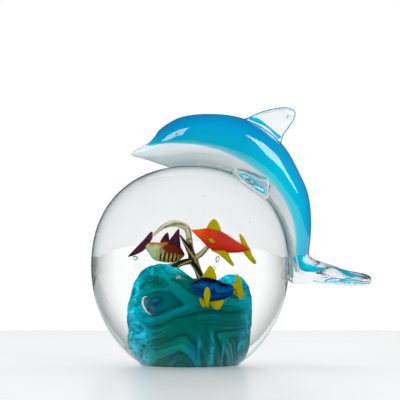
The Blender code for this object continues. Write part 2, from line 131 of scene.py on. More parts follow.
@dataclass
class Skin:
    """Points and faces of one surface, with named values at the points.

    Attributes:
        points: Points in millimetres.
        faces: Point numbers of each face.
        values: Named lists with one number for each point, which the finishes read.
    """

    points: list[Vector] = field(default_factory=list)
    faces: list[tuple[int, ...]] = field(default_factory=list)
    values: dict[str, list[float]] = field(default_factory=dict)

    @classmethod
    def from_rings(cls, rings: Sequence[Sequence[Vector]]) -> "Skin":
        """Join a row of equal rings, and close both ends with a fan about the end ring's middle.

        Args:
            rings: Rings of points, each with the same number of points.

        Returns:
            The closed skin. It faces outwards when the rings turn left as seen looking back along the row.
        """
        sides = len(rings[0])
        skin = cls([point for ring in rings for point in ring])
        for row in range(len(rings) - 1):
            for side in range(sides):
                after = (side + 1) % sides
                low, high = row * sides, (row + 1) * sides
                skin.faces.append((low + side, low + after, high + after, high + side))
        for ring, first, forward in ((rings[0], 0, False), (rings[-1], (len(rings) - 1) * sides, True)):
            skin.points.append(sum(ring, Vector()) / sides)
            middle = len(skin.points) - 1
            for side in range(sides):
                pair = (first + side, first + (side + 1) % sides)
                skin.faces.append((*pair, middle) if forward else (*pair[::-1], middle))
        return skin

    def mesh(self, name: str) -> bpy.types.Mesh:
        """Make the mesh, in metres, shaded smooth.

        Args:
            name: Name of the mesh.

        Returns:
            The new mesh, with one attribute for each named value.
        """
        mesh = bpy.data.meshes.new(name)
        mesh.from_pydata([point * MM for point in self.points], [], self.faces)
        for label, numbers in self.values.items():
            layer = mesh.attributes.new(label, "FLOAT", "POINT")
            padded = list(numbers) + [numbers[-1]] * (len(self.points) - len(numbers))
            layer.data.foreach_set("value", padded)
        mesh.validate()
        mesh.shade_smooth()
        return mesh


def oval(centre: Vector, across: Vector, side: Vector, count: int, power: float = 2.0) -> list[Vector]:
    """Points round a superellipse.

    Args:
        centre: Its middle.
        across: Half axis that the first point lies on.
        side: The other half axis.
        count: Number of points.
        power: 2 for an ellipse, above it for a fuller shape.

    Returns:
        The ring of points.
    """
    ring = []
    for index in range(count):
        angle = 2 * math.pi * index / count
        reach = (abs(math.cos(angle)) ** power + abs(math.sin(angle)) ** power) ** (-1 / power)
        ring.append(centre + across * (reach * math.cos(angle)) + side * (reach * math.sin(angle)))
    return ring


def rod(points: Sequence[Row], radii: Sequence[float], sides: int = 20, twist: float = 0.0) -> Skin:
    """A round rod with domed ends along a smooth curve.

    Args:
        points: Points that the curve goes through.
        radii: Radius at each point.
        sides: Number of sides.
        twist: Turns for each millimetre, for the value named twist.

    Returns:
        The rod, with values twist and along.
    """
    table = [(*point, radius) for point, radius in zip(points, radii)]
    steps = 10 * (len(points) - 1)
    rows = resample(table, steps)
    path = [Vector(row[:3]) for row in rows]
    dome = ((0.02, -0.9), (0.5, -0.75), (0.85, -0.4))
    stations = [(path[0], shrink, shift * rows[0][3], rows[0][3], 0) for shrink, shift in dome]
    stations += [(point, 1.0, 0.0, row[3], index) for index, (point, row) in enumerate(zip(path, rows))]
    stations += [(path[-1], shrink, -shift * rows[-1][3], rows[-1][3], steps) for shrink, shift in dome[::-1]]
    rings, turns, lengths = [], [], []
    normal = Vector((0.0, 1.0, 0.0))
    run = 0.0
    last = path[0]
    for point, shrink, shift, radius, index in stations:
        ahead = (path[min(index + 1, steps)] - path[max(index - 1, 0)]).normalized()
        normal = (normal - normal.project(ahead)).normalized()
        centre = point + ahead * shift
        run += (centre - last).length
        last = centre
        rings.append(oval(centre, normal * radius * shrink, ahead.cross(normal) * radius * shrink, sides))
        turns += [math.cos(2 * math.pi * (2 * side / sides + run * twist)) for side in range(sides)]
        lengths += [run] * sides
    skin = Skin.from_rings(rings)
    skin.values = {"twist": turns, "along": lengths}
    return skin


def pillow(outline: Sequence[Row], y: float, thickness: float) -> Skin:
    """A fin: a smooth outline in the XZ plane that swells from its rim to its middle.

    Args:
        outline: Points of the outline, each x and z.
        y: Middle of its thickness.
        thickness: Largest thickness.

    Returns:
        The closed fin.
    """
    steps, layers = 8, 14
    closed = [*outline[-2:], *outline, *outline[:2]]
    count = steps * len(outline)
    edge = [between(closed, 2 + step / steps) for step in range(count)]
    middle_x = sum(x for x, _ in edge) / count
    middle_z = sum(z for _, z in edge) / count
    rings = []
    for layer in range(layers, -1, -1):
        share = math.cos(math.pi * layer / layers)
        reach = max(math.sqrt(max(1 - share * share, 0.0)) ** 0.8, 0.02)
        depth = y + share * thickness / 2
        rings.append([
            Vector((middle_x + (x - middle_x) * reach, depth, middle_z + (z - middle_z) * reach))
            for x, z in edge
        ])
    return Skin.from_rings(rings)


def ball_of(centre: Row, radii: Row, segments: int = 24) -> Skin:
    """An ellipsoid.

    Args:
        centre: Its middle.
        radii: Its half size along X, Y and Z.
        segments: Number of sides round it.

    Returns:
        The closed skin.
    """
    rings = []
    for row in range(1, segments // 2):
        angle = math.pi * row / (segments // 2)
        level = Vector(centre) - Vector((0, 0, radii[2] * math.cos(angle)))
        reach = math.sin(angle)
        across, side = Vector((radii[0] * reach, 0, 0)), Vector((0, radii[1] * reach, 0))
        rings.append(oval(level, across, side, segments))
    return Skin.from_rings(rings)


def place(name: str, skin: Skin | bpy.types.Mesh, finish: "Finish", *nodes: str) -> bpy.types.Object:
    """Make a piece, dress it, and tie it to the frame.

    Args:
        name: Name of the piece.
        skin: Its skin, or its finished mesh.
        finish: Its finish.
        nodes: Nodes of the part that it stands for.

    Returns:
        The new object.
    """
    mesh = skin.mesh(name) if isinstance(skin, Skin) else skin
    piece = bpy.data.objects.new(name, mesh)
    bpy.context.scene.collection.objects.link(piece)
    mesh.materials.clear()
    mesh.materials.append(finish.material())
    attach(piece, "root")
    if nodes:
        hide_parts(*nodes)
    LOG.info("%s: %d faces, for %s", name, len(mesh.polygons), ", ".join(nodes) or "detail")
    return piece


# ---------------------------------------------------------------------------------------------------------
# Finishes


class Slot(str, Enum):
    """The record's material slots."""

    CLEAR = "clear_glass"
    STREAKED = "streaked_clear_glass"
    TEAL = "teal_glass"
    BLUE = "blue_glass"
    WHITE = "white_glass"
    BLACK = "black_glass"
    OLIVE = "olive_glass"
    IVORY = "ivory_glass"
    YELLOW = "yellow_glass"
    RED = "red_glass"
    NAVY = "navy_glass"
    AMBER = "amber_glass"
    MAROON = "maroon_glass"


def greys(*levels: tuple[float, float]) -> Stops:
    """Turn pairs of place and brightness into the stops of a grey ramp."""
    return tuple((place_on_bar, (level, level, level)) for place_on_bar, level in levels)


class Nodes:
    """A node tree, with short ways to add and join nodes."""

    def __init__(self, made: bpy.types.Material | bpy.types.World,
                 output: str = "ShaderNodeOutputMaterial") -> None:
        """Empty the node tree and add its output.

        Args:
            made: The new material or world.
            output: Blender's name of the output node's type.
        """
        self.made = made
        self.made.use_nodes = True
        self.tree = self.made.node_tree
        self.tree.nodes.clear()
        self.output = self.add(output)

    def add(self, kind: str, **settings: object) -> bpy.types.Node:
        """Add a node.

        Args:
            kind: Blender's name of the node type.
            settings: Properties of the node, and numbers or colours for its sockets by name with _ for space.

        Returns:
            The node.
        """
        node = self.tree.nodes.new(kind)
        for key, value in settings.items():
            if hasattr(node, key):
                setattr(node, key, value)
            else:
                node.inputs[key.replace("_", " ")].default_value = value
        return node

    def join(self, source: Socket, target: Socket) -> None:
        """Link two sockets."""
        self.tree.links.new(source, target)

    def point_value(self, name: str) -> Socket:
        """Read one of the skin's named values."""
        return self.add("ShaderNodeAttribute", attribute_name=name).outputs["Fac"]

    def grain(self, size: float, detail: float = 3.0, distortion: float = 0.0) -> Socket:
        """Cloudy noise about 0.5.

        Args:
            size: Size of its clouds in millimetres.
            detail: Octaves of finer noise.
            distortion: How much it swirls.

        Returns:
            The noise.
        """
        place_node = self.add("ShaderNodeTexCoord")
        cloud = self.add("ShaderNodeTexNoise", Scale=1 / (size * MM), Detail=detail, Distortion=distortion)
        self.join(place_node.outputs["Object"], cloud.inputs["Vector"])
        return cloud.outputs["Fac"]

    def sum(self, first: Socket, second: Socket | float, weight: float = 1.0,
            kind: str = "MULTIPLY_ADD") -> Socket:
        """Work out first * weight + second, or another Math node of three inputs.

        Args:
            first: Input that is weighted.
            second: Input or number that is added.
            weight: Weight of the first.
            kind: Operation of the Math node.

        Returns:
            The result.
        """
        node = self.add("ShaderNodeMath", operation=kind)
        self.join(first, node.inputs[0])
        node.inputs[1].default_value = weight
        if isinstance(second, (int, float)):
            node.inputs[2].default_value = second
        else:
            self.join(second, node.inputs[2])
        return node.outputs[0]

    def fraction(self, source: Socket) -> Socket:
        """Keep the part after the decimal point."""
        node = self.add("ShaderNodeMath", operation="FRACT")
        self.join(source, node.inputs[0])
        return node.outputs[0]

    def ramp(self, source: Socket, stops: Stops, smooth: str = "EASE") -> Socket:
        """Turn a number into a colour.

        Args:
            source: The number, from 0 to 1.
            stops: Places and colours.
            smooth: How colours blend between the stops.

        Returns:
            The colour.
        """
        node = self.add("ShaderNodeValToRGB")
        bar = node.color_ramp
        bar.interpolation = smooth
        while len(bar.elements) < len(stops):
            bar.elements.new(0.5)
        for element, (place_on_bar, colour) in zip(bar.elements, stops):
            element.position = place_on_bar
            element.color = (*colour, 1.0)
        self.join(source, node.inputs["Fac"])
        return node.outputs["Color"]

    def times(self, first: Socket, second: Socket) -> Socket:
        """Multiply two numbers or greys."""
        node = self.add("ShaderNodeMath", operation="MULTIPLY")
        self.join(first, node.inputs[0])
        self.join(second, node.inputs[1])
        return node.outputs[0]

    def through(self, first: Socket, second: Socket,
                share: float = 1.0) -> Socket:
        """See one colour through another, by multiplying them.

        Args:
            first: The colour behind.
            second: The colour in front.
            share: How much of the second colour's effect is kept.

        Returns:
            The product.
        """
        node = self.add("ShaderNodeMix", data_type="RGBA", blend_type="MULTIPLY")
        node.inputs[0].default_value = share
        self.join(first, node.inputs[6])
        self.join(second, node.inputs[7])
        return node.outputs[2]

    def pass_lamps(self, glass: bpy.types.Node, tint: Colour) -> None:
        """Finish a clear material, and let the lamps' shadow rays straight through it.

        Args:
            glass: The shader that every other ray meets.
            tint: Colour that the lamps' light takes.
        """
        clear = self.add("ShaderNodeBsdfTransparent", Color=(*tint, 1.0))
        choice = self.add("ShaderNodeMixShader")
        self.join(self.add("ShaderNodeLightPath").outputs["Is Shadow Ray"], choice.inputs[0])
        self.join(glass.outputs[0], choice.inputs[1])
        self.join(clear.outputs[0], choice.inputs[2])
        self.join(choice.outputs[0], self.output.inputs["Surface"])

    def blend(self, share: Socket, first: Socket | Colour,
              second: Socket | Colour) -> Socket:
        """Mix two colours.

        Args:
            share: Share of the second.
            first: Colour at 0.
            second: Colour at 1.

        Returns:
            The mixed colour.
        """
        node = self.add("ShaderNodeMix", data_type="RGBA")
        self.join(share, node.inputs[0])
        for value, socket in ((first, node.inputs[6]), (second, node.inputs[7])):
            if isinstance(value, tuple):
                socket.default_value = (*value, 1.0)
            else:
                self.join(value, socket)
        return node.outputs[2]

    def bump(self, height: Socket, depth: float, shader: bpy.types.Node) -> None:
        """Give a shader small relief.

        Args:
            height: The relief, from 0 to 1.
            depth: Its depth in millimetres.
            shader: The shader that takes it.
        """
        node = self.add("ShaderNodeBump", Strength=1.0, Distance=depth * MM)
        self.join(height, node.inputs["Height"])
        self.join(node.outputs["Normal"], shader.inputs["Normal"])


@dataclass(frozen=True)
class Finish:
    """A finish, made into a material once and shared after that.

    Attributes:
        name: Name of the material.
        slot: The record's slot that it belongs to. Not used by the script.
    """

    name: str
    slot: Slot

    def material(self) -> bpy.types.Material:
        """Find the material, or make it."""
        return bpy.data.materials.get(self.name) or self.build()

    def build(self) -> bpy.types.Material:
        """Make the material. Each kind of finish does this its own way."""
        raise NotImplementedError


@dataclass(frozen=True)
class ClearGlass(Finish):
    """Polished clear glass that lets lamps shine through.

    Attributes:
        tint: Colour of its deeper streaks.
        ior: Index of refraction against what surrounds it.
        ripple: Depth of the hand-worked ripples in millimetres.
        roughness: Roughness of its polish.
        shine: Share of the reflection of a bare surface.
        polish: Weight of the mirror-bright top layer.
        polish_ior: Index of refraction of that layer.
        painted_edge_shade: Colour painted on the glass as shade towards its edge, from facing (0) to grazing
            (1).
    """

    tint: Colour = (0.965, 0.985, 0.98)
    ior: float = 1.5
    ripple: float = 0.02
    roughness: float = 0.0
    shine: float = 1.0
    polish: float = 0.0
    polish_ior: float = 1.65
    # Painted shade: the glass is painted darker towards grazing.
    painted_edge_shade: Stops = (
        (0.0, WHITE), (0.58, WHITE), (0.72, (0.84, 0.88, 0.88)), (0.80, (0.46, 0.55, 0.55)),
        (0.87, (0.16, 0.23, 0.23)), (0.95, (0.08, 0.13, 0.13)),
    )

    def build(self) -> bpy.types.Material:
        """Make the material."""
        nodes = Nodes(bpy.data.materials.new(self.name))
        glass = nodes.add("ShaderNodeBsdfPrincipled", Roughness=self.roughness, IOR=self.ior)
        glass.inputs["Transmission Weight"].default_value = 1.0
        glass.inputs["Specular Tint"].default_value = (self.shine, self.shine, self.shine, 1.0)
        glass.inputs["Coat Weight"].default_value = self.polish
        glass.inputs["Coat IOR"].default_value = self.polish_ior
        glass.inputs["Coat Roughness"].default_value = 0.0
        streaks = nodes.ramp(nodes.grain(16.0, 2.0, 0.6), ((0.35, self.tint), (0.7, (0.99, 1.0, 0.998))))
        # Painted shade: the base colour darkens towards grazing, a dark edge painted on the glass.
        grazing = nodes.add("ShaderNodeLayerWeight", Blend=0.5)
        painted_edge_shade = nodes.ramp(grazing.outputs["Facing"], self.painted_edge_shade, "LINEAR")
        nodes.join(nodes.through(streaks, painted_edge_shade), glass.inputs["Base Color"])
        nodes.bump(nodes.grain(11.0, 1.0, 0.4), self.ripple, glass)
        nodes.pass_lamps(glass, self.tint)
        return nodes.made


@dataclass(frozen=True)
class TrappedAir(Finish):
    """The inside of a bubble: light goes from glass into air and back.

    Attributes:
        tint: Colour of the glass about it; the reef's bubbles take a teal, a painted reflection of the reef.
    """

    tint: Colour = (0.94, 0.98, 0.98)

    def build(self) -> bpy.types.Material:
        """Make the material."""
        nodes = Nodes(bpy.data.materials.new(self.name))
        skin = nodes.add("ShaderNodeBsdfGlass", Roughness=0.0, IOR=1 / 1.5)
        nodes.join(nodes.ramp(nodes.grain(1.5, 1.0), ((0.3, self.tint), (0.9, WHITE))), skin.inputs["Color"])
        nodes.pass_lamps(skin, WHITE)
        return nodes.made


@dataclass(frozen=True)
class SolidGlass(Finish):
    """Opaque coloured glass with cloudy streaks and a soft glow of light inside it; painted_glow adds a
    painted glow, its colour given off as light.

    Attributes:
        deep: Colour of its darker streaks.
        main: Main colour.
        pale: Colour of its lighter streaks.
        grain_size: Size of the streaks in millimetres.
        glow: Share of light that travels inside it.
        roughness: Roughness of its surface.
        gloss: Specular level, 0 where its surface lies inside clear glass.
        painted_glow: Strength of a painted glow: its colour is given off as light, though it is no lamp.
    """

    deep: Colour = (0.1, 0.1, 0.1)
    main: Colour = (0.5, 0.5, 0.5)
    pale: Colour = (0.8, 0.8, 0.8)
    grain_size: float = 2.5
    glow: float = 0.2
    roughness: float = 0.25
    gloss: float = 0.0
    painted_glow: float = 0.0

    def build(self) -> bpy.types.Material:
        """Make the material."""
        nodes = Nodes(bpy.data.materials.new(self.name))
        shader = self.shader(nodes)
        stops = ((0.25, self.deep), (0.45, self.main), (0.58, self.main), (0.8, self.pale))
        self.paint(nodes, shader, nodes.ramp(nodes.grain(self.grain_size, 4.0, 1.2), stops))
        return nodes.made

    def paint(self, nodes: Nodes, shader: bpy.types.Node, colour: Socket) -> None:
        """Colour the surface, and give the same colour off as a painted glow.

        Args:
            nodes: The material's nodes.
            shader: Its Principled node.
            colour: The colour.
        """
        nodes.join(colour, shader.inputs["Base Color"])
        # Painted glow: the colour is also emitted, so the glass shines like a lamp.
        nodes.join(colour, shader.inputs["Emission Color"])
        shader.inputs["Emission Strength"].default_value = self.painted_glow

    def shader(self, nodes: Nodes) -> bpy.types.Node:
        """Add the shader with its gloss, its glow and its fine relief.

        Args:
            nodes: The material's nodes.

        Returns:
            The Principled node, joined to the output.
        """
        shader = nodes.add("ShaderNodeBsdfPrincipled", Roughness=self.roughness, IOR=1.5)
        shader.inputs["Specular IOR Level"].default_value = self.gloss
        shader.inputs["Subsurface Weight"].default_value = self.glow
        shader.inputs["Subsurface Radius"].default_value = WHITE
        shader.inputs["Subsurface Scale"].default_value = 2 * MM
        nodes.bump(nodes.grain(self.grain_size * 0.6, 3.0, 0.8), 0.05, shader)
        nodes.join(shader.outputs[0], nodes.output.inputs["Surface"])
        return shader


@dataclass(frozen=True)
class BandedGlass(SolidGlass):
    """Opaque glass whose colour follows one of the skin's named values.

    Attributes:
        value: Name of the value.
        low: Value that the first stop stands for.
        high: Value that the last stop stands for.
        stops: Places from 0 to 1 and their colours.
        waver: How far noise shifts the bands, as a share of the range.
    """

    value: str = "along"
    low: float = 0.0
    high: float = 1.0
    stops: Stops = greys((0.0, 0.0), (1.0, 1.0))
    waver: float = 0.1

    def build(self) -> bpy.types.Material:
        """Make the material."""
        nodes = Nodes(bpy.data.materials.new(self.name))
        shader = self.shader(nodes)
        self.paint(nodes, shader, self.colour(nodes))
        return nodes.made

    def level(self, nodes: Nodes) -> Socket:
        """Work out the wavering place on the bands.

        Args:
            nodes: The material's nodes.

        Returns:
            The place, from 0 to 1.
        """
        reach = self.high - self.low
        level = nodes.sum(nodes.point_value(self.value), -self.low / reach - self.waver, 1 / reach)
        return nodes.sum(nodes.grain(self.grain_size, 3.0, 1.0), level, 2 * self.waver)

    def colour(self, nodes: Nodes) -> Socket:
        """Colour of the bands."""
        return nodes.ramp(self.level(nodes), self.stops)


@dataclass(frozen=True)
class CoreGlass(BandedGlass):
    """Layers of blue over white glass, with painted shade: a darker blue at the middle of the arch, which the
    overhead lamp lights most.

    Attributes:
        painted_shade_stops: Darker colours of the bands, painted as shade.
        thickness: Share of the painted shade, from the beak (0) to the tail (1).
    """

    painted_shade_stops: Stops = greys((0.0, 0.0), (1.0, 1.0))
    thickness: tuple[tuple[float, float], ...] = ((0.0, 0.0), (1.0, 1.0))

    def colour(self, nodes: Nodes) -> Socket:
        """Mix the plain bands with their darker copies of painted shade.

        Args:
            nodes: The material's nodes.

        Returns:
            The colour.
        """
        level = self.level(nodes)
        # Painted shade: the darker copy takes over at the middle of the arch.
        share = nodes.ramp(nodes.point_value("along"), greys(*self.thickness))
        return nodes.blend(share, nodes.ramp(level, self.stops), nodes.ramp(level, self.painted_shade_stops))


@dataclass(frozen=True)
class AmberGlass(SolidGlass):
    """A fish body: dark red glass at the head, pale green at the tail, an amber back and gold stripes.

    Attributes:
        back: Colour of the streak along the back.
        stripe: Colour of the stripes at the belly.
        pitch: Distance between stripes, as a share of the body's length.
    """

    back: Colour = (0.7, 0.3, 0.03)
    stripe: Colour = (0.6, 0.5, 0.1)
    pitch: float = 0.075

    def build(self) -> bpy.types.Material:
        """Make the material."""
        nodes = Nodes(bpy.data.materials.new(self.name))
        shader = self.shader(nodes)
        along, rise = nodes.point_value("along"), nodes.point_value("rise")
        cloud = nodes.grain(self.grain_size, 3.0, 1.0)
        level = nodes.sum(cloud, nodes.sum(along, -0.12, 1.0), 0.24)
        body = nodes.ramp(level, ((0.0, self.deep), (0.3, self.main), (0.52, self.main), (0.62, self.pale)))
        height = nodes.sum(cloud, nodes.sum(rise, 0.25, 0.5), 0.5)
        dorsal = nodes.ramp(level, ((0.4, self.deep), (0.52, self.back), (0.85, self.back), (1.0, self.pale)))
        colour = nodes.blend(self.mask(nodes, height, 0.72, 0.9), body, dorsal)
        stripes = nodes.fraction(nodes.sum(cloud, nodes.sum(along, 0.0, 1 / self.pitch), 0.9))
        bars = nodes.ramp(
            stripes, ((0.0, self.deep), (0.4, self.deep), (0.55, self.stripe), (0.85, self.stripe)))
        share = nodes.times(self.mask(nodes, height, 0.6, 0.35), self.mask(nodes, level, 0.72, 0.55))
        self.paint(nodes, shader, nodes.blend(share, colour, bars))
        return nodes.made

    @staticmethod
    def mask(nodes: Nodes, level: Socket, none: float, full: float) -> Socket:
        """Share that rises smoothly from 0 to 1 between two levels.

        Args:
            nodes: The material's nodes.
            level: The number that decides.
            none: Level where the share is 0.
            full: Level where the share is 1.

        Returns:
            The share.
        """
        node = nodes.add("ShaderNodeMapRange", interpolation_type="SMOOTHSTEP")
        nodes.join(level, node.inputs["Value"])
        node.inputs["From Min"].default_value = none
        node.inputs["From Max"].default_value = full
        return node.outputs[0]


@dataclass(frozen=True)
class ReefGlass(SolidGlass):
    """Swirled layers of teal glass: dark folds and thin pale veils, with cyan painted light and painted
    specks where the glass is taken as thin, which also glow.

    Attributes:
        veil: Colour of the thin lines between layers.
        thread: Colour of a few finer lines.
        painted_light: Colour of the painted light, where the glass is taken as thin with light coming
            through.
        painted_glint: Colour of the brightest painted specks there.
        layer: Thickness of a layer in millimetres.
    """

    veil: Colour = (0.1, 0.35, 0.28)
    thread: Colour = (0.3, 0.5, 0.1)
    painted_light: Colour = (0.0, 0.45, 0.65)
    painted_glint: Colour = (0.4, 0.8, 0.95)
    layer: float = 5.0

    def build(self) -> bpy.types.Material:
        """Make the material."""
        nodes = Nodes(bpy.data.materials.new(self.name))
        shader = self.shader(nodes)
        folds = nodes.ramp(self.layers(nodes, 0.55, 0.5, 1.5), (
            (0.30, self.deep), (0.44, self.main), (0.54, self.main), (0.66, self.pale)))
        cool = nodes.ramp(nodes.grain(17.0, 1.0, 0.5), ((0.42, (1.0, 0.95, 0.8)), (0.6, (0.6, 0.82, 1.15))))
        fine = nodes.ramp(self.layers(nodes, 2.6, 0.8, 3.0), greys((0.37, 0.4), (0.5, 0.8), (0.6, 1.0)))
        shade = nodes.through(nodes.through(folds, cool), fine, 0.85)
        patches = nodes.ramp(nodes.grain(9.0, 1.0, 0.5), greys((0.42, 0.15), (0.62, 1.0)))
        veils = nodes.ramp(
            self.layers(nodes, 1.7, 0.7, 2.0), greys((0.0, 0.0), (0.49, 0.0), (0.525, 0.7), (0.56, 0.0)))
        colour = nodes.blend(nodes.times(veils, patches), shade, self.veil)
        threads = nodes.ramp(
            self.layers(nodes, 1.6, 0.5, 1.0), greys((0.0, 0.0), (0.415, 0.0), (0.43, 0.45), (0.445, 0.0)))
        rare = nodes.ramp(nodes.grain(8.0, 0.0, 0.0), greys((0.54, 0.0), (0.66, 1.0)))
        colour = nodes.blend(nodes.times(threads, rare), colour, self.thread)
        # Painted light: cyan patches and specks where the skin's painted_light value is high, standing for
        # light through thin glass.
        painted_glint_grain = nodes.grain(4.2, 2.0, 1.8)
        painted_light_facets = nodes.ramp(painted_glint_grain, greys((0.42, 0.35), (0.49, 0.85), (0.6, 1.0)))
        light = nodes.times(nodes.point_value("painted_light"), painted_light_facets)
        through = nodes.ramp(painted_glint_grain, ((0.5, self.painted_light), (0.6, self.painted_light), (0.68, self.painted_glint)))
        self.paint(nodes, shader, nodes.blend(light, colour, through))
        # The painted light glows as well: its emission grows with it.
        nodes.join(nodes.sum(light, 0.02, self.painted_glow), shader.inputs["Emission Strength"])
        return nodes.made

    def layers(self, nodes: Nodes, pace: float, waver: float, detail: float) -> Socket:
        """Uneven bands that follow the swirled layers.

        Args:
            nodes: The material's nodes.
            pace: Bands for each layer's thickness.
            waver: How far cloudy noise shifts them, in bands.
            detail: Octaves of finer bands.

        Returns:
            The bands, as noise about 0.5.
        """
        flow = nodes.sum(nodes.point_value("flow"), 0.0, pace / self.layer)
        band = nodes.add("ShaderNodeTexNoise", noise_dimensions="1D", Scale=1.0, Detail=detail)
        nodes.join(nodes.sum(nodes.grain(7.0, 2.0, 0.6), flow, waver), band.inputs["W"])
        return band.outputs["Fac"]


# Clear finishes paint a dark edge of shade at grazing angles.
CRYSTAL = ClearGlass("crystal", Slot.CLEAR, shine=0.03)
# The dolphin's skin paints a teal shade at its edge.
DOLPHIN_CRYSTAL = ClearGlass(
    "dolphin_crystal", Slot.CLEAR, tint=(0.95, 0.985, 0.99), ior=1.38, ripple=0.04, polish=1.0, shine=0.5,
    painted_edge_shade=((0.0, WHITE), (0.80, WHITE), (0.89, (0.50, 0.78, 0.84)), (0.97, (0.05, 0.34, 0.42))),
)
STEM_GLASS = ClearGlass("stem_glass", Slot.CLEAR, tint=(0.9, 0.93, 0.9), ior=1.05, ripple=0.0)
AIR = TrappedAir("trapped_air", Slot.CLEAR)
# Painted reflection: these bubbles are tinted teal so that what they reflect and bend takes the reef's
# colour.
REEF_AIR = TrappedAir("reef_air", Slot.CLEAR, tint=(0.12, 0.62, 0.72))
# The reef's painted_light and painted_glint colours are painted light, and it glows.
REEF_GLASS = ReefGlass(
    "reef_glass", Slot.TEAL, deep=(0.0, 0.06, 0.07), main=(0.0, 0.185, 0.185), pale=(0.0, 0.34, 0.335),
    veil=(0.0, 0.56, 0.48), thread=(0.32, 0.55, 0.03), painted_light=(0.0, 0.60, 0.84), painted_glint=(0.04, 0.9, 1.0),
    grain_size=3.0, glow=0.0, roughness=0.3, painted_glow=0.35,
)
BELLY_STOPS = (
    (0.0, (0.78, 0.88, 0.89)), (0.10, (0.86, 0.91, 0.92)),
    (0.20, (0.93, 0.94, 0.95)), (0.29, (0.92, 0.92, 0.94)),
)
# Blue over white: paler cyan where the blue thins over the white belly, and darker towards the outer edge,
# partly the blue's own colour and partly painted shade.
PLAIN_BLUE = (
    (0.34, (0.16, 0.76, 0.86)), (0.42, (0.0, 0.70, 0.82)),
    (0.65, (0.0, 0.58, 0.80)), (1.0, (0.0, 0.42, 0.76)),
)
# Painted shade: a darker copy of the blue for the middle of the arch.
PAINTED_SHADE_BLUE = (
    (0.33, (0.10, 0.56, 0.72)), (0.42, (0.0, 0.42, 0.60)),
    (0.7, (0.0, 0.35, 0.62)), (1.0, (0.0, 0.26, 0.56)),
)
# The core also gives off its colour as a painted glow.
CORE_GLASS = {
    slot: CoreGlass(
        name, slot, value="rise", low=-0.45, high=1.0, waver=0.015, grain_size=9.0, glow=0.1, roughness=0.3,
        painted_glow=0.2, stops=BELLY_STOPS + PLAIN_BLUE, painted_shade_stops=BELLY_STOPS + PAINTED_SHADE_BLUE,
        # thickness here is the share of painted shade along the body.
        thickness=((0.0, 0.0), (0.16, 0.15), (0.34, 1.0), (0.5, 0.8), (0.7, 0.1), (1.0, 0.0)),
    )
    for name, slot in (("blue_layer", Slot.BLUE), ("white_core", Slot.WHITE))
}
EYE_GLASS = SolidGlass(
    "eye_glass", Slot.BLACK, deep=(0.004, 0.004, 0.004), main=(0.01, 0.01, 0.012), pale=(0.03, 0.03, 0.03),
    grain_size=0.5, glow=0.0, roughness=0.05,
)
FIN_YELLOW = SolidGlass(
    "fin_yellow", Slot.YELLOW, deep=(0.32, 0.28, 0.0), main=(0.48, 0.42, 0.0), pale=(0.58, 0.52, 0.01),
    grain_size=2.2, roughness=0.3,
)
TAIL_YELLOW = SolidGlass(
    "tail_yellow", Slot.YELLOW, deep=(0.06, 0.09, 0.01), main=(0.46, 0.41, 0.0), pale=(0.58, 0.52, 0.01),
    grain_size=1.6, roughness=0.3,
)
FIN_MAROON = SolidGlass(
    "fin_maroon", Slot.MAROON, deep=(0.045, 0.012, 0.03), main=(0.10, 0.02, 0.05), pale=(0.22, 0.07, 0.12),
    grain_size=1.6, roughness=0.3,
)
RED_BODY = BandedGlass(
    "red_body", Slot.RED, value="along", waver=0.1, grain_size=3.0, glow=0.3,
    stops=((0.0, (1.0, 0.17, 0.01)), (0.2, (0.95, 0.11, 0.01)), (0.34, (0.68, 0.04, 0.012)),
           (0.5, (0.62, 0.03, 0.014)), (0.75, (0.66, 0.035, 0.012)), (1.0, (0.76, 0.08, 0.01))),
)
NAVY_BODY = BandedGlass(
    "navy_body", Slot.NAVY, value="rise", low=-1.0, high=1.0, waver=0.28, grain_size=4.0,
    stops=((0.0, (0.0, 0.015, 0.08)), (0.2, (0.0, 0.07, 0.26)), (0.4, (0.0, 0.03, 0.14)),
           (0.55, (0.0, 0.12, 0.36)), (0.75, (0.0, 0.05, 0.20)), (0.86, (0.003, 0.006, 0.03)),
           (1.0, (0.003, 0.003, 0.01))),
)
AMBER_BODY = AmberGlass(
    "amber_body", Slot.AMBER, deep=(0.07, 0.008, 0.008), main=(0.20, 0.025, 0.015), pale=(0.50, 0.66, 0.34),
    back=(0.62, 0.22, 0.02), stripe=(0.62, 0.48, 0.06), grain_size=3.0,
)
OLIVE_CANE = BandedGlass(
    "olive_cane", Slot.OLIVE, value="twist", low=-1.0, high=1.0, waver=0.35, grain_size=1.8,
    stops=((0.0, (0.006, 0.016, 0.008)), (0.28, (0.05, 0.07, 0.02)), (0.48, (0.30, 0.28, 0.12)),
           (0.64, (0.60, 0.58, 0.38)), (0.8, (0.34, 0.15, 0.025)), (1.0, (0.07, 0.03, 0.01))),
)
IVORY_CANE = BandedGlass(
    "ivory_cane", Slot.IVORY, value="twist", low=-1.0, high=1.0, waver=0.35, grain_size=1.8, glow=0.3,
    stops=((0.0, (0.30, 0.30, 0.10)), (0.2, (0.52, 0.52, 0.30)), (0.45, (0.74, 0.73, 0.60)),
           (0.8, (0.70, 0.69, 0.52)), (1.0, (0.45, 0.34, 0.12))),
)
# Painted highlight: pale rods that stand for bright lines of reflection, along the ball, round the flippers
# and on the largest bubble.
PAINTED_HIGHLIGHT_GLASS = SolidGlass(
    "painted_highlight_glass", Slot.STREAKED, deep=(0.62, 0.72, 0.72), main=(0.86, 0.90, 0.90), pale=(0.95, 0.96, 0.96),
    grain_size=3.0, roughness=0.3,
)
# A grey-teal band along the ball's outline, partly tinted glass and partly painted shade.
KEEL_SHADE = SolidGlass(
    "keel_shade", Slot.STREAKED, deep=(0.34, 0.46, 0.46), main=(0.50, 0.64, 0.64), pale=(0.72, 0.82, 0.82),
    grain_size=3.0, roughness=0.3,
)
# The streaks give off their colour as a painted glow.
STREAK_GLASS = SolidGlass(
    "streak_glass", Slot.STREAKED, deep=(0.0, 0.40, 0.64), main=(0.0, 0.56, 0.78), pale=(0.08, 0.70, 0.90),
    grain_size=2.0, roughness=0.2, painted_glow=0.25,
)


# ---------------------------------------------------------------------------------------------------------
# Sub-assemblies


